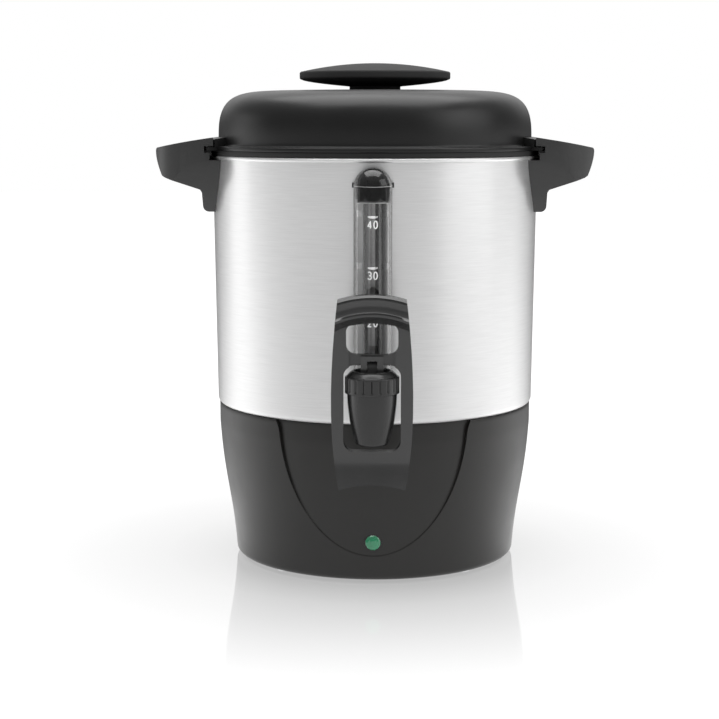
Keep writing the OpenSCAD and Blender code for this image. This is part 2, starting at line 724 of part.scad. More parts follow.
module handle_plan(inset) {
    w = handle_w - 2 * inset;
    x = tip_x - inset + 0.4;
    r = tip_corner - inset;
    translate([0, -w / 2]) square([x - r, w]);
    translate([0, r - w / 2]) square([x, w - 2 * r]);
    for (s = [-1, 1]) translate([x - r, s * (w / 2 - r)]) circle(r = r);
}
// Seen along X, each side sweeps in from the lip down to the leg
leg_half_w = 28;
sweep_top_z = rim_z - 4.5;
module handle_front(inset) {
    half = [for (i = [0:11]) let (u = i / 10, z = mix(sweep_top_z, leg_z, u))
        [handle_w / 2 - inset - (handle_w / 2 - leg_half_w) * pow(u, 1.5), z]];
    polygon(concat([[-half[0][0], far], [half[0][0], far]], half,
        [for (i = [11:-1:0]) [-half[i][0], half[i][1]]]));
}

module handle() color([0.1, 0.1, 0.11]) difference() {
    intersection() {
        slab_y(-handle_w, handle_w) handle_side();
        linear_extrude(far) handle_plan(0);
        translate([tip_x / 2 + over, 0, 0]) slab_x(tip_x / 2) handle_front(0);
    }
    intersection() {
        slab_y(-handle_w, handle_w) handle_hollow();
        linear_extrude(far) handle_plan(handle_wall);
        translate([tip_x / 2 + over, 0, 0]) slab_x(tip_x / 2) handle_front(handle_wall);
    }
    vessel_core();
    // The notch for the vessel's bead, then the slot and the hook for the lid's tab
    rotate_extrude($fn = wide_fn) polygon([[0, notch_z], [notch_r, notch_z], [notch_r, slot_low_z],
        [slot_r, slot_low_z], [slot_r, slot_high_z], [hook_r, slot_high_z], [hook_r, far], [0, far]]);
    handle_screw_places() cylinder(r = screw_r + fit_gap, h = handle_screw_len + 1);
}
handle_screw_len = 9;
module handle_right() handle();
module handle_left() mirror([1, 0, 0]) handle();
module handle_screws() color("silver") handle_screw_places() screw(handle_screw_len);

// ---------- faucet ----------

gasket_t = 2.2;
flange_y = -(faucet_wall + gasket_t);
flange_rim = 12.6;
faucet_flange_t = 3.8;
washer_r = flange_rim - 1;
seal_wall = 0.9;
socket_r = tube_r + seal_wall;
socket_wall = 1.5;
gauge_y = flange_y - socket_r - socket_wall;
faucet_y = -(faucet_wall + faucet_reach);
mouth_z = faucet_z - spout_drop;
neck_z = faucet_z + neck_rise;
neck_h = 5;
neck_r = 14;
chamber_z = faucet_z - shank_bore_r - 1;
seat_h = 1;
socket_z = faucet_z + shank_r + 2;
boss_top_z = socket_z + 11;
nut_t = 6;
inner_washer_t = 1.5;
shank_end_y = -(faucet_wall - sheet - inner_washer_t - nut_t - 3);
mouth_round = 2.5;
spout_steps = 10;
spout_power = 1.9; // how early the spout's side curves in towards the mouth

module at_spout() { translate([0, faucet_y, 0]) children(); }
module at_gauge() { translate([0, gauge_y, 0]) children(); }

module faucet_body() color([0.15, 0.15, 0.16]) difference() {
    union() {
        at_spout() {
            rotate_extrude() polygon(concat([[0, mouth_z]],
                arc(mouth_r - mouth_round, mouth_z + mouth_round, mouth_round, -90, 0, 4),
                [for (i = [1:spout_steps]) let (u = i / spout_steps)
                    [mix(spout_r, mouth_r, pow(1 - u, spout_power)), mix(mouth_z + mouth_round, neck_z, u)]],
                [[neck_r, neck_z], [neck_r, neck_z + neck_h], [0, neck_z + neck_h]]));
        }
        translate([0, 0, faucet_z]) {
            rod_y(shank_r, faucet_y, shank_end_y);
            rod_y(flange_rim, flange_y - faucet_flange_t, flange_y);
        }
        at_gauge() translate([0, 0, faucet_z])
            cylinder(r = socket_r + socket_wall, h = boss_top_z - faucet_z);
    }
    at_spout() {
        difference() {
            translate([0, 0, chamber_z]) cylinder(r = chamber_r, h = far);
            translate([0, 0, chamber_z - over]) cylinder(r = outlet_r + 2, h = seat_h + over);
        }
        translate([0, 0, mouth_z - over]) cylinder(r = outlet_r, h = far);
    }
    translate([0, 0, faucet_z]) rod_y(shank_bore_r, faucet_y, 0);
    at_gauge() {
        translate([0, 0, faucet_z]) cylinder(r = shank_bore_r - 1.5, h = far);
        translate([0, 0, socket_z]) cylinder(r = socket_r + fit_gap / 2, h = far);
    }
}

module faucet_gasket() color([0.75, 0.75, 0.72]) difference() {
    translate([0, 0, faucet_z]) rod_y(washer_r, flange_y, 0);
    vessel_core();
    translate([0, 0, faucet_z]) rod_y(shank_r + fit_gap / 2, flange_y - over, 0);
}

// The washer's edge meets the inside of the wall
washer_face_y = -sqrt(pow(vessel_at(faucet_z - washer_r) - sheet, 2) - pow(washer_r, 2)) + fit_gap;
module faucet_washer() color("silver") difference() {
    translate([0, 0, faucet_z]) rod_y(washer_r, washer_face_y, washer_face_y + inner_washer_t);
    translate([0, 0, faucet_z]) rod_y(shank_r + fit_gap / 2, -far, 0);
}
module faucet_nut() color("silver") difference() {
    translate([0, washer_face_y + inner_washer_t, faucet_z]) rotate([-90, 0, 0])
        cylinder(r = 1.5 * shank_r, h = nut_t, $fn = 6);
    translate([0, 0, faucet_z]) rod_y(shank_r + fit_gap / 2, -far, 0);
}

ceiling_z = neck_z + neck_h + fit_gap;
recess_floor_z = ceiling_z + 2.4;
recess_r = 11.5; // round recess in the bonnet's top, wide enough for the lever's two cheeks
bonnet_steps = 4;
stem_r = 2.5;
bonnet_edge = 0.9; // radius of the ring's upper edge
groove_w = 1.4;
groove_deep = 0.7;
groove_end = 1.2; // plain band under and over the grooves between the ribs
module bonnet() color([0.13, 0.13, 0.14]) at_spout() difference() {
    ring_top = neck_z + bonnet_h;
    edge = bonnet_r - bonnet_edge;
    rotate_extrude() polygon(concat(
        [[neck_r + fit_gap, neck_z], [bonnet_r, neck_z]],
        arc(edge, ring_top - bonnet_edge, bonnet_edge, 0, 90, 3),
        [for (i = [1:bonnet_steps]) let (u = i / bonnet_steps)
            [mix(edge, recess_r + 0.6, u), ring_top + bonnet_dome * sin(90 * u)]],
        [[recess_r, ring_top + bonnet_dome - 0.5], [recess_r, recess_floor_z],
            [stem_r + run_gap, recess_floor_z], [stem_r + run_gap, ceiling_z],
            [neck_r + fit_gap, ceiling_z]]));
    at_each(rib_count, bonnet_r - groove_deep, 0) translate([0, -groove_w / 2, neck_z + groove_end])
        cube([groove_deep + over, groove_w, bonnet_h - 2 * groove_end]);
}

// ---------- valve ----------

heel_h = 9; // distance from the pin down to the cheeks' heel, which stands on the bonnet
heel_half_t = 4;
cheek_in = 3.4;
cheek_out = 7.4;
pin_z = recess_floor_z + run_gap + heel_h;
tongue_r = 3.5;
cup_z = chamber_z + seat_h;
cup_h = 5;
collar_z = cup_z + cup_h;
collar_h = 1.5;
module stem() color([0.2, 0.2, 0.2]) at_spout() difference() {
    tongue_z = recess_floor_z + 2;
    half = cheek_in - run_gap;
    union() {
        translate([0, 0, cup_z + cup_floor]) cylinder(r = stem_r, h = tongue_z - cup_z - cup_floor);
        translate([0, 0, collar_z]) cylinder(r = collar_r, h = collar_h);
        translate([-half, -tongue_r, tongue_z]) cube([2 * half, 2 * tongue_r, pin_z - tongue_z]);
        translate([0, 0, pin_z]) rod_x(tongue_r, -half, half);
    }
    translate([0, 0, pin_z]) rod_x(pin_r + fit_gap / 2, -cheek_out, cheek_out);
}

// The soft cup that closes the outlet, pushed onto the stem's end
cup_floor = 1.2;
cup_r = 8.5;
collar_r = 7;
module seat_cup() color([0.8, 0.8, 0.76]) at_spout() difference() {
    translate([0, 0, cup_z]) rotate_extrude()
        polygon([[0, 0], [cup_r, 0], [cup_r, 0.4 * cup_h], [collar_r, cup_h], [0, cup_h]]);
    translate([0, 0, cup_z + cup_floor]) cylinder(r = stem_r, h = cup_h);
}

spring_r = 5;
spring_wire_r = 0.7;
spring_turns = 5;
spring_sides = 6;
spring_low_z = collar_z + collar_h + spring_wire_r;
spring_high_z = ceiling_z - spring_wire_r;
module stem_spring() color("silver") at_spout() {
    n = spring_turns * 16;
    sweep([for (i = [0:n]) let (a = 360 * spring_turns * i / n)
        [spring_r * cos(a), spring_r * sin(a), mix(spring_low_z, spring_high_z, i / n)]],
        spring_wire_r, spring_sides);
}

// ---------- lever ----------

grip_arch = 74; // radius of the grip's arched top edge
pad_arch = 77; // radius of the pad's arched bottom edge
wide_z = -21; // height at which the lever is widest, from the pin
grip_narrow = 4.8; // how much narrower each side is at the grip's top
grip_power = 1.8; // how late the sides draw in on the way up, and on the way down
pad_narrow = 5; // and at the pad's bottom
pad_power = 2.4;
function lever_half(z) = z > wide_z
    ? lever_half_w - grip_narrow * pow((z - wide_z) / (grip_up - wide_z), grip_power)
    : lever_half_w - pad_narrow * pow((wide_z - z) / (pad_down + wide_z), pad_power);
lever_steps = 20;
// The lever seen from the front, with the pin at the middle
module lever_front() {
    side = [for (i = [0:lever_steps]) let (z = mix(-pad_down - 2, grip_up, i / lever_steps))
        [lever_half(z), z]];
    intersection() {
        polygon(concat(side, [for (i = [lever_steps:-1:0]) [-side[i][0], side[i][1]]]));
        difference() {
            translate([0, grip_up - grip_arch]) circle(r = grip_arch);
            translate([0, -pad_down - pad_arch + sagitta(pad_arch, lever_half(-pad_down))])
                circle(r = pad_arch);
        }
    }
}
function sagitta(r, half) = r - sqrt(r * r - half * half);

// The lever's straight bars and the pad that kicks forward, seen from the side
grip_h = 14; // height of the grip, from the ledge under its scoop to its top
ledge_z = grip_up - grip_h;
ledge_out = 6; // how far the ledge under the scoop stands out in front of the bars
ledge_slope = 4.5; // height of the sloping face under the ledge
scoop_depth = 3.2;
back_lean = 4; // how far the grip's back falls from its top to the middle of the bars
pad_kick = 5.5; // how far the pad's lower edge kicks forward
window_low = 55.2; // how far the lower window reaches below the pin
pad_above = 4; // how far above the window's lower end the pad starts to lean
pad_start = window_low - pad_above;
kick_start = 8; // how far below that the pad's face starts to kick forward
scoop_rim = 1.5; // plain rim over and under the scoop
lip_h = 0.9; // height of the ledge's upright edge
lip_in = 1.2; // how far the edge leans in over that height
pad_t = 3.5;
front_y = -lever_t / 2;
module lever_side() {
    polygon(concat(
        [for (i = [0:6]) let (u = i / 6)
            [front_y - pad_kick * pow(1 - u, 2), mix(-pad_down - over, -pad_start - kick_start, u)]],
        [[front_y, ledge_z - 2 * over], [-front_y, ledge_z - 2 * over], [-front_y, -pad_start]],
        [for (i = [1:6]) let (u = i / 6) [-front_y - (lever_t - pad_t + pad_kick) * pow(u, 1.6),
            mix(-pad_start, -pad_down - over, u)]]));
}

// The grip: a scoop over a ledge, carried round the arch of the top edge
module lever_grip() {
    lip_y = front_y - ledge_out;
    scoop_mid = (ledge_z + grip_up) / 2;
    scoop_half = grip_h / 2 - scoop_rim;
    translate([0, 0, grip_up - grip_arch]) rotate([90, 0, 0]) rotate_extrude($fn = wide_fn)
        translate([grip_arch - grip_up, 0]) polygon([for (p = concat(
            [[front_y + over, ledge_z - ledge_slope - over], [lip_y + lip_in, ledge_z - lip_h],
                [lip_y, ledge_z]],
            [for (a = [-75:15:75])
                [lip_y + scoop_depth * cos(1.2 * a), scoop_mid + scoop_half * sin(a) / sin(75)]],
            [[lip_y + lip_in / 2, grip_up - lip_h], [lip_y + 2 * lip_in, grip_up + over],
                [front_y + lever_t / 2, grip_up + over], [0, grip_up - back_lean],
                [-front_y - over, ledge_z - 2 * over],
                [-front_y - over, ledge_z - ledge_slope - over]]))
            [p[1], -p[0]]]);
}

// Windows: the upper one lets the gauge show, the lower one lets the spout through
upper_low = 8.5;
upper_high = 29.1;
upper_half_w = 17;
window_high = 1.2;
window_corner = 7;
module lever_windows() {
    intersection() {
        translate([0, (upper_low + upper_high) / 2])
            soft_rect(2 * upper_half_w, upper_high - upper_low, window_corner - 1);
        translate([0, upper_high - grip_arch]) circle(r = grip_arch);
    }
    translate([0, (window_high - window_low) / 2])
        soft_rect(2 * window_half_w, window_high + window_low, window_corner);
}

// The crossbar between the windows lies back from the lever's face, on both sides of the clevis
crossbar_in = lever_t / 2;
crossbar_half = 15;
module crossbar_recess() {
    translate([-crossbar_half, front_y - over, window_high - window_corner])
        cube([2 * crossbar_half, crossbar_in + over, upper_low - window_high + 2 * window_corner]);
}

module at_pin() { translate([0, faucet_y, pin_z]) children(); }

module trip_lever() color([0.17, 0.17, 0.18]) at_pin() difference() {
    union() {
        intersection() {
            slab_y(-far, far) difference() { lever_front(); lever_windows(); }
            union() {
                difference() {
                    slab_x(lever_half_w + over) lever_side();
                    crossbar_recess();
                }
                lever_grip();
            }
        }
        // The two cheeks of the clevis hang from the crossbar
        translate([-cheek_out, -heel_half_t, -heel_h])
            cube([2 * cheek_out, 2 * heel_half_t, heel_h + upper_low - 1]);
    }
    translate([-cheek_in, -far, -heel_h - over])
        cube([2 * cheek_in, 2 * far, heel_h + tongue_r + 2 * over]);
    rod_x(pin_r + fit_gap / 2, -cheek_out - over, cheek_out + over);
}

module lever_pin() color("silver") at_pin() rod_x(pin_r, -cheek_out, cheek_out);

// ---------- sight gauge ----------

gauge_top_z = rim_z - gauge_drop;
shield_dome_z = gauge_top_z - shield_r;
shield_low_z = boss_top_z - 4;
small_screw_r = 1.1;
small_head_r = 2.4;
small_head_h = 1.2;
ear_half_h = 2;
ear_t = 3;
ear_out = 1.2; // how far each ear stands out beside the shield
ear_y = -sqrt(pow(vessel_at(ear_z), 2) - pow(ear_x, 2)); // where the wall runs under the ears

// A post that is round in front and round on top, and runs straight back into the vessel
module post(r, low) intersection() {
    translate([0, 0, low]) linear_extrude(far) {
        translate([0, gauge_y]) circle(r = r);
        translate([-r, gauge_y]) square([2 * r, -gauge_y - vessel_r + vessel_corner]);
    }
    slab_y(gauge_y - r - over, 0) {
        translate([0, shield_dome_z]) circle(r = r);
        translate([-r - over, low - over]) square([2 * (r + over), shield_dome_z - low + over]);
    }
}
// The two ears at the wall, whose screws hold the shield
module gauge_ears() { translate([0, 0, ear_z]) slab_y(ear_y - ear_t, ear_y + ear_t) children(); }
module gauge_shield() color([0.85, 0.88, 0.9, 0.4]) difference() {
    union() {
        post(shield_r, shield_low_z);
        gauge_ears() square([2 * (shield_r + ear_out), 2 * ear_half_h], center = true);
    }
    difference() {
        post(shield_r - shield_wall, shield_low_z - over);
        gauge_ears() difference() {
            square([far, 2 * ear_half_h], center = true);
            square([2 * (ear_x - small_head_r), far], center = true);
        }
    }
    vessel_core();
    gauge_screw_places() cylinder(r = small_screw_r + fit_gap / 2, h = small_screw_len);
}
small_screw_len = 3.2;
module gauge_screws() color("silver") gauge_screw_places() {
    translate([0, 0, -small_head_h]) cylinder(r = small_head_r, h = small_head_h);
    cylinder(r = small_screw_r, h = small_screw_len - fit_gap);
}

cap_r = shield_r - shield_wall - 2.8;
cap_dome_r = shield_r - shield_wall - fit_gap;
cap_low_z = shield_dome_z + cap_dome_r - cap_len;
tube_top_z = cap_low_z + cap_len * 0.7;
module gauge_tube() color([0.9, 0.95, 0.95, 0.4]) at_gauge()
    translate([0, 0, socket_z]) ring(tube_r, tube_r - tube_wall, tube_top_z - socket_z);
module gauge_cap() color([0.1, 0.1, 0.1]) at_gauge() difference() {
    rotate_extrude() polygon(concat([[0, cap_low_z], [cap_r, cap_low_z]],
        arc(0, shield_dome_z, cap_dome_r, acos(cap_r / cap_dome_r), 90, 6)));
    translate([0, 0, cap_low_z - over])
        cylinder(r = tube_r + fit_gap / 2, h = tube_top_z - cap_low_z + over);
}
module gauge_seal() color([0.75, 0.75, 0.72]) at_gauge()
    translate([0, 0, socket_z]) ring(socket_r, tube_r + fit_gap / 2, boss_top_z - socket_z - 2);

// ---------- percolator ----------

tube_foot_z = well_z + sheet + 2;
tube_flange_h = 1.5;
tube_flange_r = 7.5;
tube_top = lid_top_z - lid_wall - tube_gap;
basket_z = rim_z - basket_drop;
stop_r = 8;
bell_r = well_r - 3;
bell_t = 1;
washer_t = 1.5;
bell_top_z = tube_foot_z + tube_flange_h + washer_t + washer_lift + 2;
module pump_tube() color("silver") {
    translate([0, 0, tube_foot_z]) ring(pump_r, pump_r - pump_wall, tube_top - tube_foot_z);
    translate([0, 0, tube_foot_z]) ring(tube_flange_r, pump_r - pump_wall, tube_flange_h);
    translate([0, 0, basket_z - 2]) ring(stop_r, pump_r - pump_wall, 2);
}

// The bell that stands in the heating well and gathers the steam under the tube
bell_steps = 8;
bell_collar = 3;
slot_h = 2.5; // height of the slots that let the coffee in under the bell
function bell_curve(r, low, rise) = [for (i = [0:bell_steps]) let (a = 90 * i / bell_steps)
    [r - (bell_r - pump_r - bell_collar) * (1 - cos(a)), low + rise * sin(a)]];
function reversed(p) = [for (i = [len(p) - 1:-1:0]) p[i]];
module pump_base() color("silver") difference() {
    low = well_z + sheet + fit_gap;
    rise = bell_top_z - low;
    bore = pump_r + fit_gap / 2;
    rotate_extrude() polygon(concat(bell_curve(bell_r, low, rise),
        [[bore, low + rise], [bore, low + rise - bell_t]],
        reversed(bell_curve(bell_r - bell_t, low, rise - bell_t))));
    at_each(6, bell_r, 0) translate([-bell_collar, -bell_collar, low - over])
        cube([2 * bell_collar, 2 * bell_collar, slot_h + over]);
}

module pump_washer() color([0.6, 0.6, 0.6]) translate([0, 0, tube_foot_z + tube_flange_h])
    ring(tube_flange_r + 2, pump_r + run_gap, washer_t);

// Rings of drip holes, from the tube's stop out to a radius
first_row = 10; // holes in the innermost ring
module drip_holes(outer, rows, from) {
    for (k = [0:rows - 1])
        at_each(first_row + 8 * k, mix(2 * stop_r, outer, k / (rows - 1)), 9 * k)
            translate([0, 0, from - over]) cylinder(r = drip_r, h = basket_t + 2 * over);
}
sleeve_h = 12;
basket_corner = 5;
module brew_basket() color([0.72, 0.72, 0.73]) difference() {
    bore = pump_r + run_gap;
    mid = [basket_r - basket_corner, basket_z + basket_corner];
    rotate_extrude() polygon(concat(
        [[bore, basket_z]], arc(mid[0], mid[1], basket_corner, -90, 0, 5),
        [[basket_r, basket_z + basket_h], [basket_r - basket_t, basket_z + basket_h]],
        arc(mid[0], mid[1], basket_corner - basket_t, 0, -90, 5),
        [[bore + basket_t, basket_z + basket_t], [bore + basket_t, basket_z + sleeve_h],
            [bore, basket_z + sleeve_h]]));
    drip_holes(basket_r - 14, 4, basket_z);
}
cover_lip = 6;
module basket_cover() color([0.72, 0.72, 0.73]) translate([0, 0, basket_z + basket_h]) difference() {
    lip_r = basket_r - basket_t - run_gap;
    union() {
        ring(basket_r + 1, pump_r + run_gap, basket_t);
        translate([0, 0, -cover_lip]) ring(lip_r, lip_r - basket_t, cover_lip + basket_t / 2);
    }
    drip_holes(basket_r - 12, 4, 0);
}

// ---------- lid ----------

dome_foot = 3.8; // height of the fillet at the foot of the dome
lid_skirt_r = mouth_in_r - 1.2;
screw_boss_r = 6;
module rim_seal() color([0.08, 0.08, 0.08])
    translate([0, 0, rim_z + run_gap]) ring(flange_r - 0.8, lid_skirt_r + run_gap, seal_h - run_gap);

// A wedge about +X that spans the locking lug, between two radii and two heights
module lug_part(inner, outer, low, high_in, high_out) {
    rotate(-lug_half_deg) rotate_extrude(angle = 2 * lug_half_deg)
        polygon([[inner, low], [outer, low], [outer, high_out], [inner, high_in]]);
}
dome_steps = 20;
// The dome's curve, drawn in by inset
function dome_curve(inset) = [for (p = dome_pts(lid_wall_r - inset, lid_h - dome_foot - inset, dome_steps))
    [p[0], dome_z + dome_foot + p[1]]];
module lid_shell() color([0.07, 0.07, 0.08]) difference() {
    edge = 0.6;
    fillet = 2;
    union() {
        rotate_extrude() polygon(concat(
            [[lid_skirt_r - lid_wall, flange_z - skirt_drop], [lid_skirt_r, flange_z - skirt_drop],
                [lid_skirt_r, flange_z], [flange_r, flange_z], [flange_r, dome_z - edge],
                [flange_r - edge, dome_z]],
            arc(lid_wall_r + fillet, dome_z + fillet, fillet, 270, 180, 4),
            dome_curve(0), reversed(dome_curve(lid_wall)),
            [[lid_wall_r - lid_wall, dome_z], [lid_skirt_r - lid_wall, flange_z - 2]]));
        for (side = [0, 180]) rotate(side) {
            lug_part(lid_wall_r - 1, lug_r, dome_z - 1, handle_top(lid_wall_r - 1), handle_top(lug_r));
            lug_part(flange_r - 1, flange_r + tab_reach, flange_z, flange_z + tab_t, flange_z + tab_t);
        }
    }
    translate([0, 0, lid_top_z - lid_wall - over]) cylinder(r = screw_r + fit_gap, h = lid_wall + 2 * over);
}

knob_edge = knob_rim_t / 2;
knob_z = lid_top_z;
knob_crown = 6; // how far the knob's top stands over its rim
knob_under = 4.9; // how far its underside drops from the rim to the stem
under_power = 0.64; // less than 1 makes the underside bulge
knob_wall = 3;
knob_screw_len = 13;
module lid_knob() color([0.05, 0.05, 0.06]) difference() {
    edge_z = knob_z + knob_h - knob_crown - knob_edge;
    under_z = edge_z - knob_edge;
    x = knob_r - knob_edge;
    rotate_extrude() difference() {
        polygon(concat([[0, knob_z], [knob_stem_r, knob_z], [knob_stem_r, under_z - knob_under]],
            [for (i = [1:8]) let (u = i / 8)
                [mix(knob_stem_r, x, u), under_z - knob_under * pow(1 - u, under_power)]],
            arc(x, edge_z, knob_edge, -60, 60, 5),
            [for (i = [0:10]) let (u = 1 - i / 10) [x * u, knob_z + knob_h - knob_crown * u * u]]));
        // The hollow of the stem, round the boss for the screw
        translate([screw_boss_r, knob_z - over])
            square([knob_stem_r - knob_wall - screw_boss_r, knob_h - 2 * knob_wall + over]);
    }
    translate([0, 0, knob_z - over])
        cylinder(r = screw_r + fit_gap / 2, h = knob_screw_len - lid_wall + over);
}
module lid_screw() color("silver") translate([0, 0, knob_z - lid_wall - fit_gap]) screw(knob_screw_len);

base_housing();
base_cover();
base_screws();
vessel();
heating_well();
vessel_nuts();
main_heater();
heater_bracket();
heater_nut();
warming_heater();
thermostat();
thermal_fuse();
wiring();
inlet_housing();
inlet_pins();
indicator_lens();
indicator_lamp();
handle_left();
handle_right();
handle_screws();
gauge_shield();
gauge_tube();
gauge_cap();
gauge_seal();
gauge_screws();
faucet_body();
faucet_gasket();
faucet_washer();
faucet_nut();
bonnet();
stem_spring();
stem();
seat_cup();
trip_lever();
lever_pin();
pump_tube();
pump_base();
brew_basket();
basket_cover();
pump_washer();
rim_seal();
lid_shell();
lid_knob();
lid_screw();
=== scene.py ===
# %% [markdown]
# # A forty-cup coffee urn
# This lesson dresses a coffee urn whose exact parts come from a CAD model. The CAD model says
# where everything is and how it moves. Here the surfaces that people see are made again with
# softer edges and finer curves, and every piece gets its finish: brushed steel, satin black
# moulding, clear plastic, rubber. All sizes in the cells are millimetres, as on a maker's
# drawing, and are turned into metres only when a mesh is made.

# %% Load the frame
import json

import bmesh
import bpy
import numpy as np
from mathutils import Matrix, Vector


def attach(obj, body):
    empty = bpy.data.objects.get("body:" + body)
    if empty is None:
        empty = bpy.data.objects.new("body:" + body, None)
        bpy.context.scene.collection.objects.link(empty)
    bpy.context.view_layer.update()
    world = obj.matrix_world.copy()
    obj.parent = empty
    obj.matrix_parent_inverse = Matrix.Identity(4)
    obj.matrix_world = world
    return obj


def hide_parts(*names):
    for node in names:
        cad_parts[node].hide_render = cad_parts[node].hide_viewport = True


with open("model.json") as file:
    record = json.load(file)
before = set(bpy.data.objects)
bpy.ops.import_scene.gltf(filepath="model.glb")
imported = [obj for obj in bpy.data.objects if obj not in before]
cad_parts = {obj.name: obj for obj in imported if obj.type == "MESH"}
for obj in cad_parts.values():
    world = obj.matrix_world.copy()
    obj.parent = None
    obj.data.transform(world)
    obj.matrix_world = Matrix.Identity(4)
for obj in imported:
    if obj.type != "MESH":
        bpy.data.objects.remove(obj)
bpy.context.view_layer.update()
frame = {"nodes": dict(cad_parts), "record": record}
MM = 0.001
WELD_M, SLIVER_M = 2e-6, 1e-6  # points closer than this are one; edges shorter than this go
NODES = frame["nodes"]
BODY_OF = {node: body for body, members in frame["record"]["behaviour"]["bodies"].items()
           for node in members}
SLOT_OF = {part["node"]: part["material_slot"] for part in frame["record"]["subparts"]}

# %% [markdown]
# ## Two tools for shapes
# Most of an urn is round, so the first tool is a lathe: it carries a half outline round the
# axis. The second puts any table of points and faces into a mesh. Both work on whole numpy
# arrays, because thousands of points are then placed in one step, and each formula stays
# readable. A closed outline gives a closed wall, whose faces can all be made to point outwards.

# %% A mesh from arrays, and the lathe
def put_mesh(name, shells, finish, body, replaces=(), crease=32):
    """Makes one piece from shells, each a pair: points (n by 3, in millimetres) and a list of
    face tables (m by 3 or m by 4 point numbers). Edges sharper than crease degrees stay crisp."""
    points, tables, first = [], [], 0
    for shell_points, shell_faces in shells:
        points.append(np.asarray(shell_points, float))
        tables += [np.asarray(f) + first for f in shell_faces]
        first += len(shell_points)
    points = np.concatenate(points) * MM
    corners = np.concatenate([t.ravel() for t in tables]).astype(np.int32)
    sizes = np.concatenate([np.full(len(t), t.shape[1]) for t in tables])
    mesh = bpy.data.meshes.new(name)
    mesh.vertices.add(len(points))
    mesh.vertices.foreach_set("co", points.astype(np.float32).ravel())
    mesh.loops.add(len(corners))
    mesh.loops.foreach_set("vertex_index", corners)
    mesh.polygons.add(len(sizes))
    mesh.polygons.foreach_set("loop_start", (np.cumsum(sizes) - sizes).astype(np.int32))
    mesh.update(calc_edges=True)
    bm = bmesh.new()
    bm.from_mesh(mesh)
    bmesh.ops.remove_doubles(bm, verts=bm.verts, dist=WELD_M)
    bmesh.ops.dissolve_degenerate(bm, dist=SLIVER_M, edges=bm.edges)
    bmesh.ops.recalc_face_normals(bm, faces=bm.faces)
    open_edges = sum(e.is_boundary for e in bm.edges)
    bm.to_mesh(mesh)
    bm.free()
    mesh.polygons.foreach_set("use_smooth", np.ones(len(mesh.polygons), bool))
    mesh.set_sharp_from_angle(angle=np.radians(crease))
    mesh.materials.append(finish)
    piece = bpy.data.objects.new(name, mesh)
    bpy.context.scene.collection.objects.link(piece)
    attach(piece, body)
    if replaces:
        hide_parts(*replaces)
    print(f"{name}: {len(mesh.polygons)} faces, {open_edges} open edges")
    return piece


def grid_faces(rows, cols, wrap_rows=False, wrap_cols=False):
    """The quads of a grid of rows by cols points: each joins a point, the next in its row, and
    the two in the row above. Wrapping joins the last row or column to the first."""
    r = np.arange(rows if wrap_rows else rows - 1)[:, None]
    c = np.arange(cols if wrap_cols else cols - 1)[None, :]
    r2, c2 = (r + 1) % rows, (c + 1) % cols
    quads = np.stack([r * cols + c, r * cols + c2, r2 * cols + c2, r2 * cols + c], -1)
    return quads.reshape(-1, 4)


def eased(outline, radius, steps=5):
    """Rounds the corners of a closed outline. At each corner the curve is a blend of three
    points: (1-t)^2 a + 2 t (1-t) corner + t^2 b, where a and b lie radius away on its sides."""
    p = np.asarray(outline, float)
    radius = np.broadcast_to(radius, len(p))
    before, after = np.roll(p, 1, 0) - p, np.roll(p, -1, 0) - p
    lb, la = np.linalg.norm(before, axis=1), np.linalg.norm(after, axis=1)
    reach_b, reach_a = np.minimum(radius, 0.45 * lb), np.minimum(radius, 0.45 * la)
    a = p + before * (reach_b / lb)[:, None]
    b = p + after * (reach_a / la)[:, None]
    t = np.linspace(0, 1, steps)[None, :, None]
    bend = (1 - t) ** 2 * a[:, None] + 2 * t * (1 - t) * p[:, None] + t ** 2 * b[:, None]
    return bend.reshape(-1, 2)


def lathe(outline, centre=(0, 0), columns=160, closed=True, ripple=None):
    """Carries an outline of (radius, height) round a vertical axis at centre:
    x = cx + r sin a, y = cy - r cos a. ripple(a, r, z) may change the radius."""
    o = np.asarray(outline, float)
    a = np.linspace(0, 2 * np.pi, columns, endpoint=False)[None, :]
    r = np.broadcast_to(o[:, :1], (len(o), columns))
    z = np.broadcast_to(o[:, 1:], (len(o), columns))
    if ripple:
        r = ripple(a, r, z)
    points = np.stack([centre[0] + r * np.sin(a), centre[1] - r * np.cos(a), z], -1)
    return points.reshape(-1, 3), [grid_faces(len(o), columns, wrap_rows=closed, wrap_cols=True)]


def bar(start, end, radius, sides=24):
    """A straight rod with flat ends: rings of points round the line from start to end."""
    start, end = np.asarray(start, float), np.asarray(end, float)
    d = (end - start) / np.linalg.norm(end - start)
    u = np.cross(d, [0, 0, 1] if abs(d[2]) < 0.9 else [1, 0, 0])
    u /= np.linalg.norm(u)
    v = np.cross(d, u)
    a = np.linspace(0, 2 * np.pi, sides, endpoint=False)[:, None]
    ring = np.cos(a) * u + np.sin(a) * v
    rows = [start + 0 * ring, start + radius * ring, end + radius * ring, end + 0 * ring]
    return np.concatenate(rows), [grid_faces(4, sides, wrap_cols=True)]


def arc(x, y, radius, start, stop, steps):
    """Points of a circle about (x, y) from angle start to stop, in degrees."""
    a = np.radians(np.linspace(start, stop, steps))
    return np.stack([x + radius * np.cos(a), y + radius * np.sin(a)], -1)


def mix(a, b, t):
    """The value t of the way from a to b."""
    return a + (b - a) * t

# %% [markdown]
# ## Finishes
# Each finish is a small node tree on the Principled shader. Nothing real has one flat colour:
# moulded plastic has a fine grain and faint clouds, and brushed steel has thousands of short
# scratches that lie one way. Noise read from Object coordinates gives both, because those stay
# with the piece when it moves. What is the same all over, such as metal or gloss, stands on the
# shader's own sockets.

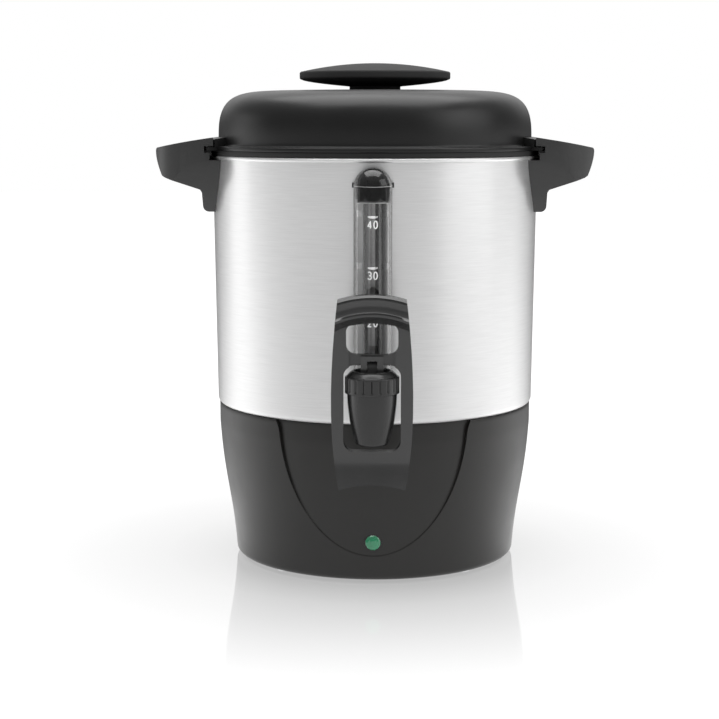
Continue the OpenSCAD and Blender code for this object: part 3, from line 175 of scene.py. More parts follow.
# %% Node helpers and the two families of finish
def new_finish(name, **sockets):
    """A material with a Principled shader whose own sockets hold the given constants."""
    material = bpy.data.materials.new(name)
    material.use_nodes = True
    tree = material.node_tree
    shader = tree.nodes["Principled BSDF"]
    for socket, value in sockets.items():
        shader.inputs[socket.replace("_", " ")].default_value = value
    material.diffuse_color = (0.5, 0.5, 0.5, 1)
    return material, tree, shader


def noise(tree, per_metre, detail=3, stretch=(1, 1, 1)):
    """Noise over Object coordinates. per_metre is how many lumps fit in a metre, and stretch
    multiplies it along each axis."""
    where = tree.nodes.new("ShaderNodeTexCoord")
    turn = tree.nodes.new("ShaderNodeMapping")
    turn.inputs["Scale"].default_value = stretch
    lumps = tree.nodes.new("ShaderNodeTexNoise")
    lumps.inputs["Scale"].default_value = per_metre
    lumps.inputs["Detail"].default_value = detail
    tree.links.new(where.outputs["Object"], turn.inputs["Vector"])
    tree.links.new(turn.outputs["Vector"], lumps.inputs["Vector"])
    return lumps.outputs["Fac"]


def ramp(tree, source, low, high, start=0.3, stop=0.7):
    """Turns a number between start and stop into a colour between low and high."""
    node = tree.nodes.new("ShaderNodeValToRGB")
    node.color_ramp.elements[0].position, node.color_ramp.elements[1].position = start, stop
    node.color_ramp.elements[0].color, node.color_ramp.elements[1].color = (*low, 1), (*high, 1)
    tree.links.new(source, node.inputs["Fac"])
    return node.outputs["Color"]


def spread(tree, source, low, high, start=0.3, stop=0.7):
    """Turns a number between start and stop into one between low and high."""
    node = tree.nodes.new("ShaderNodeMapRange")
    for socket, value in (("From Min", start), ("From Max", stop),
                          ("To Min", low), ("To Max", high)):
        node.inputs[socket].default_value = value
    tree.links.new(source, node.inputs["Value"])
    return node.outputs["Result"]


def curve(tree, source, stops):
    """A number read from a list of (place, value) stops, straight between them."""
    node = tree.nodes.new("ShaderNodeValToRGB")
    band = node.color_ramp
    while len(band.elements) < len(stops):
        band.elements.new(0.5)
    for stop, (place, value) in zip(band.elements, stops):
        stop.position, stop.color = place, (value, value, value, 1)
    tree.links.new(source, node.inputs["Fac"])
    return node.outputs["Color"]


def bumps(tree, shader, source, height_mm, strength=0.5):
    """Makes the shader's surface rise by height_mm where source is 1."""
    node = tree.nodes.new("ShaderNodeBump")
    node.inputs["Distance"].default_value = height_mm * MM
    node.inputs["Strength"].default_value = strength
    tree.links.new(source, node.inputs["Height"])
    tree.links.new(node.outputs["Normal"], shader.inputs["Normal"])


def grey(value):
    """A neutral colour."""
    return (value, value, value)


def moulded(name, low, high, rough, grain_per_metre=2600, grain_mm=0.02, **sockets):
    """Moulded plastic or rubber: slow clouds between two colours, a fine grain in relief, and a
    gloss that wanders a little."""
    material, tree, shader = new_finish(name, **sockets)
    clouds = noise(tree, 40, 4)
    tree.links.new(ramp(tree, clouds, low, high), shader.inputs["Base Color"])
    tree.links.new(spread(tree, clouds, rough - 0.03, rough + 0.03), shader.inputs["Roughness"])
    bumps(tree, shader, noise(tree, grain_per_metre, 2), grain_mm)
    return material


def metal(name, low, high, rough, stretch=(1, 1, 1), per_metre=300, scratch_mm=0.01, **sockets):
    """Bare metal: scratches between two greys, stretched along the way it was rubbed."""
    material, tree, shader = new_finish(name, Metallic=1.0, **sockets)
    scratches = noise(tree, per_metre, 5, stretch)
    tree.links.new(ramp(tree, scratches, low, high), shader.inputs["Base Color"])
    tree.links.new(spread(tree, scratches, rough - 0.04, rough + 0.04), shader.inputs["Roughness"])
    bumps(tree, shader, scratches, scratch_mm, 0.4)
    return material


STEEL = metal("brushed_vessel_steel", grey(0.85), grey(0.92), 0.38, stretch=(0.03, 0.03, 1),
              per_metre=1700, Anisotropic=0.75)
steel_tree = STEEL.node_tree
steel_shader = steel_tree.nodes["Principled BSDF"]
steel_shader.inputs["Metallic"].default_value = 0.75
# The vessel is rubbed level, so its gloss is smeared up and down
upright = steel_tree.nodes.new("ShaderNodeCombineXYZ")
upright.inputs["Z"].default_value = 1
steel_tree.links.new(upright.outputs[0], steel_shader.inputs["Tangent"])
SHEET = metal("plain_bright_sheet", grey(0.55), grey(0.66), 0.28, per_metre=220)
ALUMINIUM = metal("satin_aluminium", grey(0.62), grey(0.7), 0.36, per_metre=260)
ZINC = metal("zinc_plated_steel", (0.58, 0.6, 0.62), (0.68, 0.69, 0.7), 0.25, per_metre=500)
BASE_BLACK = moulded("charcoal_base_moulding", (0.015, 0.0142, 0.013),
                     (0.018, 0.0172, 0.0158), 0.38)
LID_BLACK = moulded("satin_black_lid", grey(0.002), grey(0.003), 0.36, grain_mm=0.012)
HANDLE_BLACK = moulded("satin_black_handle", grey(0.038), grey(0.045), 0.38)
KNOB_BLACK = moulded("soft_black_knob", grey(0.045), grey(0.052), 0.7, Specular_IOR_Level=0.12)
CAP_BLACK = moulded("glossy_black_cap", grey(0.008), grey(0.012), 0.3)
FAUCET_BLACK = moulded("satin_grey_faucet", grey(0.017), grey(0.022), 0.24, grain_mm=0.01,
                       Specular_IOR_Level=0.6)
LEVER_GREY = moulded("satin_grey_lever", grey(0.034), grey(0.04), 0.22, grain_mm=0.01,
                     Specular_IOR_Level=0.8)
INNER_BLACK = moulded("plain_black_moulding", grey(0.03), grey(0.04), 0.55)
SILICONE = moulded("milky_silicone", (0.5, 0.5, 0.46), (0.6, 0.6, 0.56), 0.5)
SEAL_BLACK = moulded("black_sealing_rubber", grey(0.01), grey(0.016), 0.6)
CERAMIC = moulded("unglazed_ceramic", (0.62, 0.57, 0.46), (0.74, 0.7, 0.6), 0.75)
WIRE_RED = moulded("red_wire_sleeve", (0.3, 0.02, 0.015), (0.42, 0.03, 0.02), 0.5)
# The marks glow a little, a painted light that keeps the printed marks white in this room's light
MARK_WHITE = moulded("white_gauge_marks", grey(0.86), grey(0.94), 0.5,
                     Emission_Color=(1, 1, 1, 1), Emission_Strength=0.3)
# Painted shade: a dark grey for the screws in the gauge's ears
SCREW_BLACK = metal("screws_painted_dark", grey(0.03), grey(0.05), 0.35)
print(len(bpy.data.materials), "finishes so far")

# %% [markdown]
# ## Clear pieces
# The gauge's shield and tube are clear, the power light's lens is a green jewel. Clear plastic
# is not perfectly clear: faint flow lines show in its gloss, and a very weak tint shows where it
# is thick. The shield's colour also carries painted reflections and shade: grey streaks that
# stand for the tube seen through it.

# %% Clear plastic, tube glass, green lens
def clear(name, tint_low, tint_high, rough, ior):
    """See-through plastic or glass: light passes, tinted by slow clouds."""
    material, tree, shader = new_finish(name, Transmission_Weight=1.0, IOR=ior)
    clouds = noise(tree, 60, 3)
    tree.links.new(ramp(tree, clouds, tint_low, tint_high), shader.inputs["Base Color"])
    tree.links.new(spread(tree, clouds, rough, rough + 0.02), shader.inputs["Roughness"])
    return material


SHIELD_CLEAR = clear("clear_shield_painted_reflections", grey(0.90), grey(0.95), 0.0, 1.49)
PAD_CLEAR = clear("clear_pads", grey(0.90), grey(0.95), 0.0, 1.49)
WINDOW_TOP, PAINTED_STREAK_HALF = 266.0, 13


def paint_reflection_streaks(material):
    """Painted reflections and shade down a clear piece: long grey streaks, bright bands and dark
    edges that stand for the tube's reflections, as a function of its x in millimetres, and an
    even grey above its window."""
    tree = material.node_tree
    where = tree.nodes.new("ShaderNodeTexCoord")
    parts = tree.nodes.new("ShaderNodeSeparateXYZ")
    tree.links.new(where.outputs["Object"], parts.inputs[0])
    across = spread(tree, parts.outputs["X"], 0.0, 1.0, -PAINTED_STREAK_HALF * MM, PAINTED_STREAK_HALF * MM)
    # Painted reflections and shade: bright bands, grey bands and dark edges across the shield
    stops = [(-12.9, 0.2), (-11.8, 0.3), (-10.7, 0.35), (-10.3, 1), (-5.9, 1), (-5.5, 0.45),
             (-2.8, 0.4), (-2.6, 0.8), (-1, 0.6), (0.2, 0.8), (1.5, 0.9), (1.9, 0.1), (3.8, 0.1),
             (4.1, 0.45), (5.4, 0.4), (5.7, 0.12), (8.6, 0.15), (9.0, 1), (10.3, 1), (10.7, 0.55),
             (12.9, 0.35)]
    painted_reflection_streaks = curve(tree, across, [((x + PAINTED_STREAK_HALF) / (2 * PAINTED_STREAK_HALF), tone)
                                   for x, tone in stops])
    above = tree.nodes.new("ShaderNodeMix")
    above.data_type = "RGBA"
    past_window = spread(tree, parts.outputs["Z"], 0.0, 1.0, (WINDOW_TOP - 0.2) * MM,
                         (WINDOW_TOP + 0.2) * MM)
    # A colour mix has its sockets by number: 0 is the share, 6 and 7 the colours, output 2 both
    tree.links.new(past_window, above.inputs[0])
    tree.links.new(painted_reflection_streaks, above.inputs[6])
    above.inputs[7].default_value = (*grey(0.28), 1)
    tree.links.new(above.outputs[2], tree.nodes["Principled BSDF"].inputs["Base Color"])


# The shield's colour carries the painted reflections and shade of the tube behind it
paint_reflection_streaks(SHIELD_CLEAR)
# A light grey for the lines along the window's edge and the seam
EDGE_CLEAR = moulded("light_grey_window_lines", grey(0.55), grey(0.65), 0.4)
TUBE_CLEAR = clear("gauge_tube_glass", grey(0.94), grey(0.98), 0.0, 1.47)
LAMP_CLEAR = clear("amber_lamp_sleeve", (0.9, 0.5, 0.25), (0.95, 0.6, 0.3), 0.05, 1.5)
LENS_GREEN = moulded("green_jewel_lens", (0.01, 0.16, 0.07), (0.02, 0.3, 0.13), 0.12,
                     grain_per_metre=500, grain_mm=0.05, Coat_Weight=1.0, Coat_Roughness=0.05,
                     Emission_Color=(0.02, 0.45, 0.2, 1), Emission_Strength=0.15)
FINISH_OF = {
    "steel_vessel": STEEL, "steel_plain": SHEET, "aluminium": ALUMINIUM, "base_plastic": BASE_BLACK,
    "lid_plastic": LID_BLACK, "handle_plastic": HANDLE_BLACK, "faucet_plastic": FAUCET_BLACK,
    "inner_plastic": INNER_BLACK, "clear_plastic": SHIELD_CLEAR, "tube_glass": TUBE_CLEAR,
    "green_lens": LENS_GREEN, "silicone": SILICONE, "black_rubber": SEAL_BLACK, "zinc_plate": ZINC,
    "ceramic": CERAMIC, "wire_cover": WIRE_RED, "lamp_glass": LAMP_CLEAR}
for node_name, node in NODES.items():
    node.data.materials.clear()
    node.data.materials.append(FINISH_OF[SLOT_OF[node_name]])
# The zinc-plated screws are painted dark, a painted shade for the dark nubs in the shield's ears
NODES["gauge_screws"].data.materials[0] = SCREW_BLACK
print("every CAD node has a finish")

# %% [markdown]
# ## The vessel
# The vessel is one sheet of steel: a floor with a round hole for the heating well, a wall that
# widens a little towards the top, and a rolled bead at the rim. Its outline goes up the outside,
# over the bead and back down the inside, so the lathe gives a wall with a real thickness. Four
# studs are welded under the floor. The heating well is a cup of its own, brazed into the hole.

# %% Vessel
SEAM, RIM, SHEET_T = 114.0, 294.5, 1.0
WALL_LOW_R, WALL_TOP_R, BEAD_R, CORNER_R = 115.8, 118.2, 1.45, 4.0
WELL_R = 39.0


def wall_r(z):
    """The vessel's outer radius: it grows evenly from the bottom corner to the bead."""
    t = np.clip((z - SEAM - CORNER_R) / (RIM - BEAD_R - SEAM - CORNER_R), 0, 1)
    return mix(WALL_LOW_R, WALL_TOP_R, t)


def up_the_wall(inset, rows=40):
    """Points up the wall, drawn in by inset."""
    z = np.linspace(SEAM + CORNER_R, RIM - BEAD_R, rows)
    return np.stack([wall_r(z) - inset, z], -1)


bead_mid = (WALL_TOP_R + 0.35, RIM - BEAD_R)
vessel_line = np.concatenate([
    [[WELL_R, SEAM]],
    arc(WALL_LOW_R - CORNER_R, SEAM + CORNER_R, CORNER_R, -90, 0, 10)[:-1], up_the_wall(0),
    arc(*bead_mid, BEAD_R, -75, 160, 20), up_the_wall(SHEET_T)[::-1],
    arc(WALL_LOW_R - CORNER_R, SEAM + CORNER_R, CORNER_R - SHEET_T, 0, -90, 8)[1:],
    [[WELL_R, SEAM + SHEET_T]]])
STUD_RING_R, STUD_R, STUD_LOW, STUD_TOP = 94, 2, 106.3, SEAM + 0.5
studs = [bar((STUD_RING_R * np.sin(a), -STUD_RING_R * np.cos(a), STUD_LOW),
             (STUD_RING_R * np.sin(a), -STUD_RING_R * np.cos(a), STUD_TOP), STUD_R)
         for a in np.radians([0, 90, 180, 270])]
put_mesh("vessel_skin", [lathe(vessel_line, columns=256), *studs], STEEL, "root", ["vessel"],
         crease=40)

# %% [markdown]
# ## The base
# The base is a round moulding with a slow S in its side, and a shallow panel sinks into its
# front. The panel's outline is half an ellipse that hangs from the seam. So that its edge stays
# crisp, the grid follows the ellipse: a ring of nested ellipses carries the step, rows fill the
# panel inside it, and rows outside run round to the back.

# %% Base
FOOT, FOOT_EDGE = 2.0, 4.0
BASE_FOOT_R, BASE_TAPER, BASE_BAND, SWAY = 102.6, 12.1, 14.0, 0.4
PANEL_A, PANEL_B, PANEL_MID = 66.0, 101.0, 120.0
PANEL_LOW, PANEL_DEEP, PANEL_LEAST = 19.0, 2.6, 0.3
BASE_WALL, FOOT_IN_R, SHELF_IN_R, SHELF_R, SHELF_Z = 3, 96.6, 84, 111, 111
ROWS, FIELD_COLS, BACK_HALF = 72, 49, 121
BASE_TOP = SEAM - 0.8


def base_r(z):
    """The base's radius: a straight taper less a sine wave, which makes a slow S."""
    t = np.clip(z / (SEAM - BASE_BAND), 0, 1)
    return BASE_FOOT_R + BASE_TAPER * (t - SWAY * np.sin(2 * np.pi * t) / (2 * np.pi))


def panel_depth(z):
    """How deep the panel lies: least at its lowest point, most under the seam."""
    t = np.clip((z - PANEL_LOW) / (SEAM - PANEL_LOW), 0, 1)
    return PANEL_LEAST + (PANEL_DEEP - PANEL_LEAST) * t


def ellipse_row(k, steps):
    """Half of a nested ellipse, k times the panel's outline, from its lowest point to the top:
    x = k A sin f, z = mid - k B cos f, with a small flare under the seam."""
    f = np.linspace(0, np.arccos((PANEL_MID - BASE_TOP) / (k * PANEL_B)), steps)
    z = PANEL_MID - k * PANEL_B * np.cos(f)
    return k * PANEL_A * np.sin(f) + 2 * np.clip((z - SEAM + 9) / 9, 0, 1) ** 2, z


def on_base(x, z, depth):
    """Bends a front view onto the base: y = -sqrt(r^2 - x^2), with r drawn in by depth."""
    r = base_r(z) - depth
    return np.stack([x, -np.sqrt(r * r - x * x), z], -1)


def both_sides(x):
    """A row of values and its mirror image, from left to right."""
    return np.concatenate([-x[:0:-1], x])


def same_both_sides(z):
    """A row of values and its copy, from left to right."""
    return np.concatenate([z[:0:-1], z])


step_t = np.linspace(0, 1, 9)
ring_k = np.concatenate([[0.94, 0.965, 0.98], 0.984 + 0.014 * step_t, [1.005, 1.02, 1.05]])
ring_deep = np.concatenate([[1, 1, 1], 1 - step_t ** 2 * (3 - 2 * step_t), [0, 0, 0]])
ring_rows = []
for k, deep in zip(ring_k, ring_deep):
    half_x, half_z = ellipse_row(k, ROWS)
    row_x, row_z = both_sides(half_x), same_both_sides(half_z)
    ring_rows.append(on_base(row_x, row_z, deep * panel_depth(row_z)))
panel_ring = (np.concatenate(ring_rows), [grid_faces(len(ring_k), 2 * ROWS - 1)])

inner_x, inner_z = ellipse_row(ring_k[0], ROWS)
across = np.linspace(-1, 1, FIELD_COLS)[None, :]
field_z = np.broadcast_to(inner_z[:, None], (ROWS, FIELD_COLS))
field_points = on_base(inner_x[:, None] * across, field_z, panel_depth(field_z))
panel_field = (field_points.reshape(-1, 3), [grid_faces(ROWS, FIELD_COLS)])

outer_x, outer_z = ellipse_row(ring_k[-1], ROWS)
edge_angle = np.arcsin(outer_x / base_r(outer_z))[:, None]
t = np.linspace(0, 1, BACK_HALF)[None, :]
turn = np.concatenate([edge_angle + (np.pi - edge_angle) * t,
                       2 * np.pi - (edge_angle + (np.pi - edge_angle) * t[:, -2::-1])], 1)
back_r = np.broadcast_to(base_r(outer_z)[:, None], turn.shape)
back_z = np.broadcast_to(outer_z[:, None], turn.shape)
back_points = np.stack([back_r * np.sin(turn), -back_r * np.cos(turn), back_z], -1)
outside = (back_points.reshape(-1, 3), [grid_faces(ROWS, 2 * BACK_HALF - 1)])

low_z = np.linspace(outer_z[0], FOOT + FOOT_EDGE, 4)
wall_z = np.linspace(14, 108, 20)
low_line = np.concatenate([
    np.stack([base_r(low_z), low_z], -1),
    arc(base_r(FOOT + FOOT_EDGE) - FOOT_EDGE, FOOT + FOOT_EDGE, FOOT_EDGE, 0, -90, 8)[1:],
    [[FOOT_IN_R, FOOT], [FOOT_IN_R, 6], [base_r(10.0) - BASE_WALL, 6.5]],
    np.stack([base_r(wall_z) - BASE_WALL, wall_z], -1),
    [[SHELF_R, SHELF_Z], [SHELF_IN_R, SHELF_Z], [SHELF_IN_R, SEAM]]])
foot_shell = lathe(low_line, columns=240, closed=False)

# The top edges of the ring, the field and the back make one loop, which the lip closes
right = np.stack([row[-1] for row in ring_rows])
left = np.stack([row[0] for row in ring_rows])[::-1]
rim_points = np.concatenate([left, field_points[-1, 1:-1], right, back_points[-1, 1:-1]])
angle = np.unwrap(np.arctan2(rim_points[:, 0], -rim_points[:, 1]))
radius = np.hypot(rim_points[:, 0], rim_points[:, 1])
lip_rows = [(radius, BASE_TOP), (radius - 0.1, SEAM - 0.45), (radius - 0.35, SEAM - 0.15),
            (radius - 0.8, SEAM), (0 * radius + SHELF_IN_R, SEAM)]
lip = (np.concatenate([np.stack([r * np.sin(angle), -r * np.cos(angle), 0 * r + h], -1)
                       for r, h in lip_rows]),
       [grid_faces(len(lip_rows), len(angle), wrap_cols=True)])
base = put_mesh("base_skin", [panel_ring, panel_field, outside, foot_shell, lip], BASE_BLACK,
                "root", ["base_housing"], crease=40)

# %% [markdown]
# ## The opening for the power inlet
# A moulder forms this opening with a core that slides in from behind. Here a block with rounded
# corners is cut out of the finished wall in one step, because the wall is curved and tapered.

# %% Inlet opening
INLET_HALF_W, INLET_LOW, INLET_HIGH, INLET_ROUND = 17.3, 29.7, 54.3, 3.3
CORE_FRONT, CORE_BACK = 90, 125
plan = eased([[-INLET_HALF_W, INLET_LOW], [INLET_HALF_W, INLET_LOW], [INLET_HALF_W, INLET_HIGH],
              [-INLET_HALF_W, INLET_HIGH]], INLET_ROUND, 6)
core_rows = []
for k, y in ((0, CORE_FRONT), (1, CORE_FRONT), (1, CORE_BACK), (0, CORE_BACK)):
    level = mix(plan.mean(0), plan, k)
    core_rows.append(np.column_stack([level[:, 0], np.full(len(plan), y), level[:, 1]]))
core = put_mesh("inlet_core", [(np.concatenate(core_rows),
                                [grid_faces(4, len(plan), wrap_cols=True)])], BASE_BLACK, "root")
cut_out = base.modifiers.new("inlet_opening", "BOOLEAN")
cut_out.object, cut_out.operation, cut_out.solver = core, "DIFFERENCE", "EXACT"
opened = bpy.data.meshes.new_from_object(base.evaluated_get(bpy.context.evaluated_depsgraph_get()))
base.modifiers.clear()
base.data = opened
opened.set_sharp_from_angle(angle=np.radians(40))
bpy.data.objects.remove(core)
print("base with its opening:", len(opened.polygons), "faces")

# %% [markdown]
# ## The lid and its knob
# The lid's section is a superellipse, a curve between an ellipse and a box. Two powers, a high
# one for the width and a low one for the height, give the flat crown and the full shoulder. The
# knob is a lens on a stem, a separate moulding that one screw holds.

# %% Lid and knob
FLANGE_Z, DOME_Z, LID_TOP = 298.3, 301.2, 340.7
FLANGE_R, LID_R, LID_WALL, SKIRT_R = 120.0, 113.8, 2.5, 116.0
DOME_FOOT, WIDE_POWER, HIGH_POWER = 3.8, 9.8, 3.0


def dome(inset, steps=90):
    """The dome's half outline: r = R cos^(2/p) a, z = H sin^(2/q) a, drawn in by inset. The
    angle a runs fast at both ends, where such a curve bends most."""
    a = np.pi / 2 * np.sin(np.linspace(0, 1, steps) * np.pi / 2) ** 2
    height = LID_TOP - DOME_Z - DOME_FOOT
    return np.stack([(LID_R - inset) * np.cos(a).clip(0) ** (2 / WIDE_POWER),
                     DOME_Z + DOME_FOOT + (height - inset) * np.sin(a) ** (2 / HIGH_POWER)], -1)


def lid_top_z(r):
    """Height of the handles' tops, which the locking lugs continue: a shallow falling curve."""
    d = r - LID_R
    return RIM + 13 - 0.135 * d - 0.001 * d * d


def wedge(inner, outer, low, high_in, high_out, middle, half_deg=22.7, steps=28, ease=0.7):
    """A curved block between two radii and two heights, carried through an angle."""
    section = eased([[inner, low], [outer, low], [outer, high_out], [inner, high_in]], ease, 4)
    a = np.radians(middle + np.linspace(-half_deg, half_deg, steps))[:, None]
    r, z = section[None, :, 0], np.broadcast_to(section[None, :, 1], (steps, len(section)))
    grid = np.stack([r * np.cos(a), r * np.sin(a), z], -1)
    ends = np.concatenate([grid[:1].mean(1, keepdims=True) + 0 * grid[:1], grid,
                           grid[-1:].mean(1, keepdims=True) + 0 * grid[-1:]])
    return ends.reshape(-1, 3), [grid_faces(steps + 2, len(section), wrap_cols=True)]


lid_line = np.concatenate([
    eased([[SKIRT_R - LID_WALL, FLANGE_Z - 8], [SKIRT_R, FLANGE_Z - 8]], 0.3),
    [[SKIRT_R, FLANGE_Z]],
    # Of the flange's four corners only the outer two, five points each
    eased([[FLANGE_R - 4, FLANGE_Z], [FLANGE_R, FLANGE_Z], [FLANGE_R, DOME_Z],
           [FLANGE_R - 4, DOME_Z]], [0, 0.6, 0.9, 0])[5:15],
    arc(LID_R + 2, DOME_Z + 2, 2, 270, 180, 8), dome(0), dome(LID_WALL)[::-1],
    [[LID_R - LID_WALL, DOME_Z], [SKIRT_R - LID_WALL, FLANGE_Z - 2]]])
LUG_OUT_R, TAB_OUT_R, TAB_Z = FLANGE_R + 2, FLANGE_R + 8, FLANGE_Z + 2.3
lugs = [wedge(LID_R - 1, LUG_OUT_R, DOME_Z - 1, lid_top_z(LID_R - 1), lid_top_z(LUG_OUT_R), side)
        for side in (0, 180)]
tabs = [wedge(FLANGE_R - 1, TAB_OUT_R, FLANGE_Z, TAB_Z, TAB_Z, side) for side in (0, 180)]
put_mesh("lid_dome", [lathe(lid_line, columns=256), *lugs, *tabs], LID_BLACK, "lid", ["lid_shell"])

KNOB_R, KNOB_TOP, KNOB_CROWN, KNOB_RIM_T, KNOB_EDGE, STEM_R = 54.7, 360.3, 6.0, 5.8, 1.5, 18.5
KNOB_BELLY, BELLY_POWER = 4.9, 0.64
rim_high = KNOB_TOP - KNOB_CROWN
rim_low = rim_high - KNOB_RIM_T
u = np.linspace(0, 1, 32)
under = np.stack([mix(STEM_R, KNOB_R - KNOB_EDGE, u),
                  rim_low - KNOB_BELLY * (1 - u) ** BELLY_POWER], -1)
crown = np.stack([(KNOB_R - KNOB_EDGE) * u[::-1], KNOB_TOP - KNOB_CROWN * u[::-1] ** 2], -1)
knob_line = np.concatenate([
    [[0, LID_TOP], [STEM_R - 0.4, LID_TOP], [STEM_R, LID_TOP + 0.4]], under,
    arc(KNOB_R - KNOB_EDGE, rim_low + KNOB_EDGE, KNOB_EDGE, -80, 0, 8),
    arc(KNOB_R - KNOB_EDGE, rim_high - KNOB_EDGE, KNOB_EDGE, 0, 80, 8), crown])
put_mesh("knob_disc", [lathe(knob_line, columns=192)], KNOB_BLACK, "lid", ["lid_knob"])

SEAL_IN_R, SEAL_OUT_R, SEAL_LOW = 116.3, 119.2, 294.8
seal_line = eased([[SEAL_IN_R, SEAL_LOW], [SEAL_OUT_R, SEAL_LOW], [SEAL_OUT_R, FLANGE_Z],
                   [SEAL_IN_R, FLANGE_Z]], 0.5)
put_mesh("seal_ring", [lathe(seal_line, columns=192)], SEAL_BLACK, "rim_seal", ["rim_seal"])

# %% [markdown]
# ## Softened copies
# The handles, the faucet and the lever already have their shape in CAD, with knife-sharp edges
# that no mould gives. A copy of each is merged, its flat areas are made whole
# again, and a bevel rounds its edges, which then catch the light as they do on the real urn.

# %% Softened copies of CAD parts
def softened(name, node_name, ease_mm, finish=None, angle=28, flat_deg=0.8):
    """A merged copy of a CAD node with every edge sharper than angle rounded by ease_mm."""
    source = NODES[node_name].data
    points = np.zeros(len(source.vertices) * 3, np.float32)
    source.vertices.foreach_get("co", points)
    corners = np.zeros(len(source.loops), np.int32)
    source.loops.foreach_get("vertex_index", corners)
    piece = put_mesh(name, [(points.reshape(-1, 3) / MM, [corners.reshape(-1, 3)])],
                     finish or FINISH_OF[SLOT_OF[node_name]], BODY_OF[node_name], [node_name])
    bm = bmesh.new()
    bm.from_mesh(piece.data)
    bmesh.ops.dissolve_limit(bm, angle_limit=np.radians(flat_deg), verts=bm.verts, edges=bm.edges)
    bm.to_mesh(piece.data)
    bm.free()
    piece.data.set_sharp_from_angle(angle=np.radians(angle))
    rounding = piece.modifiers.new("rounded_edges", "BEVEL")
    rounding.width = ease_mm * MM
    rounding.segments = 4
    rounding.limit_method = "ANGLE"
    rounding.angle_limit = np.radians(angle)
    rounding.harden_normals = True
    return piece


softened("handle_right_skin", "handle_right", 0.8)
softened("handle_left_skin", "handle_left", 0.8)
softened("lever_skin", "trip_lever", 1.0, LEVER_GREY)
softened("faucet_skin", "faucet_body", 0.4)
print("softened copies made")

# %% [markdown]
# ## The bonnet
# The cap that screws onto the faucet has flat ribs parted by narrow grooves. One ripple in the
# lathe's radius makes them all: near each groove's line the radius dips, and the dip fades out
# before it reaches the plain bands at top and bottom.

# %% Bonnet
FAUCET_Y, NECK_Z, BONNET_R, BONNET_H, RIBS = -160.0, 143.7, 17.8, 11.1, 20
RECESS_R, RECESS_Z, CEILING_Z, STEM_HOLE_R, THREAD_R = 11.5, 151.2, 148.8, 2.8, 14.1
TOP_ROUND, CROWN_H, GROOVE_DEEP, GROOVE_HALF = 0.9, 3.8, 0.75, 0.5


def ribbed(a, r, z):
    """Dips the radius near each groove: the dip is a bell curve across the groove and fades at
    both ends of the ribs."""
    across_mm = ((a * RIBS / (2 * np.pi) + 0.5) % 1 - 0.5) * (2 * np.pi * BONNET_R / RIBS)
    along = (np.clip((z - NECK_Z - 1.2) / 1.0, 0, 1)
             * np.clip((NECK_Z + BONNET_H - 0.4 - z) / 0.6, 0, 1))
    dip = GROOVE_DEEP * np.exp(-(across_mm / GROOVE_HALF) ** 2)
    return r - dip * along * (r > BONNET_R - 1.5)


v = np.linspace(0, 1, 12)
bonnet_top = NECK_Z + BONNET_H
side_z = np.concatenate([[NECK_Z + 0.4],
                         np.linspace(NECK_Z + 1.0, NECK_Z + BONNET_H - TOP_ROUND, 26)])
bonnet_line = np.concatenate([
    [[THREAD_R, NECK_Z], [BONNET_R - 0.4, NECK_Z]],
    np.stack([0 * side_z + BONNET_R, side_z], -1),
    arc(BONNET_R - TOP_ROUND, NECK_Z + BONNET_H - TOP_ROUND, TOP_ROUND, 0, 90, 5)[1:],
    np.stack([mix(BONNET_R - TOP_ROUND, RECESS_R + 0.6, v),
              bonnet_top + CROWN_H * np.sin(v * np.pi / 2)], -1)[1:],
    [[RECESS_R, bonnet_top + 3.3], [RECESS_R, RECESS_Z], [STEM_HOLE_R, RECESS_Z],
     [STEM_HOLE_R, CEILING_Z], [THREAD_R, CEILING_Z]]])
put_mesh("bonnet_cap", [lathe(bonnet_line, (0, FAUCET_Y), RIBS * 16, ripple=ribbed)],
         FAUCET_BLACK, "root", ["bonnet"], crease=45)

# %% [markdown]
# ## The sight gauge
# A clear shield stands before the glass tube and its black cap. It is a thin half round shell
# with half a dome on top, and it runs straight back to the vessel. Its outer and inner faces are
# carried up together, loop by loop, so the wall has its real thickness.

# %% Gauge: shield, cap and tube
GAUGE_Y, SHIELD_R, SHIELD_T, SHIELD_LOW, SHIELD_DOME_Z = -127.06, 12.9, 1.5, 148.0, 276.1
TUBE_R, TUBE_WALL, TUBE_TOP, SOCKET_Z = 6.5, 1.2, 281.1, 141.0
CAP_R, CAP_LOW, CAP_DOME_Z = 8.7, 267.0, 278.7


def shield_face(r, z, back_steps=8):
    """One level of the shield: from the wall forward, round the half circle and back again:
    x = r sin a, y = gauge - r cos a, with a from -90 to 90 degrees."""
    a = np.linspace(-np.pi / 2, np.pi / 2, 49)
    front = np.stack([r * np.sin(a), GAUGE_Y - r * np.cos(a)], -1)
    wall_y = -np.sqrt(wall_r(z) ** 2 - r * r) - 0.02
    side = np.stack([np.full(back_steps, r), np.linspace(wall_y, GAUGE_Y, back_steps)], -1)[:-1]
    row = np.concatenate([side * [-1, 1], front, side[::-1]])
    return np.column_stack([row, np.full(len(row), z)])


over_dome = np.radians(np.linspace(0, 90, 20))
loops = []
straight = [(0, z) for z in np.linspace(SHIELD_LOW, SHIELD_DOME_Z, 12)[:-1]]
for rise, z0 in straight + [(a, SHIELD_DOME_Z) for a in over_dome]:
    outer, inner = [shield_face(r * np.cos(rise), z0 + r * np.sin(rise))
                    for r in (SHIELD_R, SHIELD_R - SHIELD_T)]
    loops.append(np.concatenate([outer, inner[::-1]]))
n = len(loops[0]) // 2
j = np.arange(n - 1)
# The last table closes the wall's lower end
shell = (np.concatenate(loops), [grid_faces(len(loops), 2 * n, wrap_cols=True),
                                 np.stack([j, j + 1, 2 * n - 2 - j, 2 * n - 1 - j], -1)])


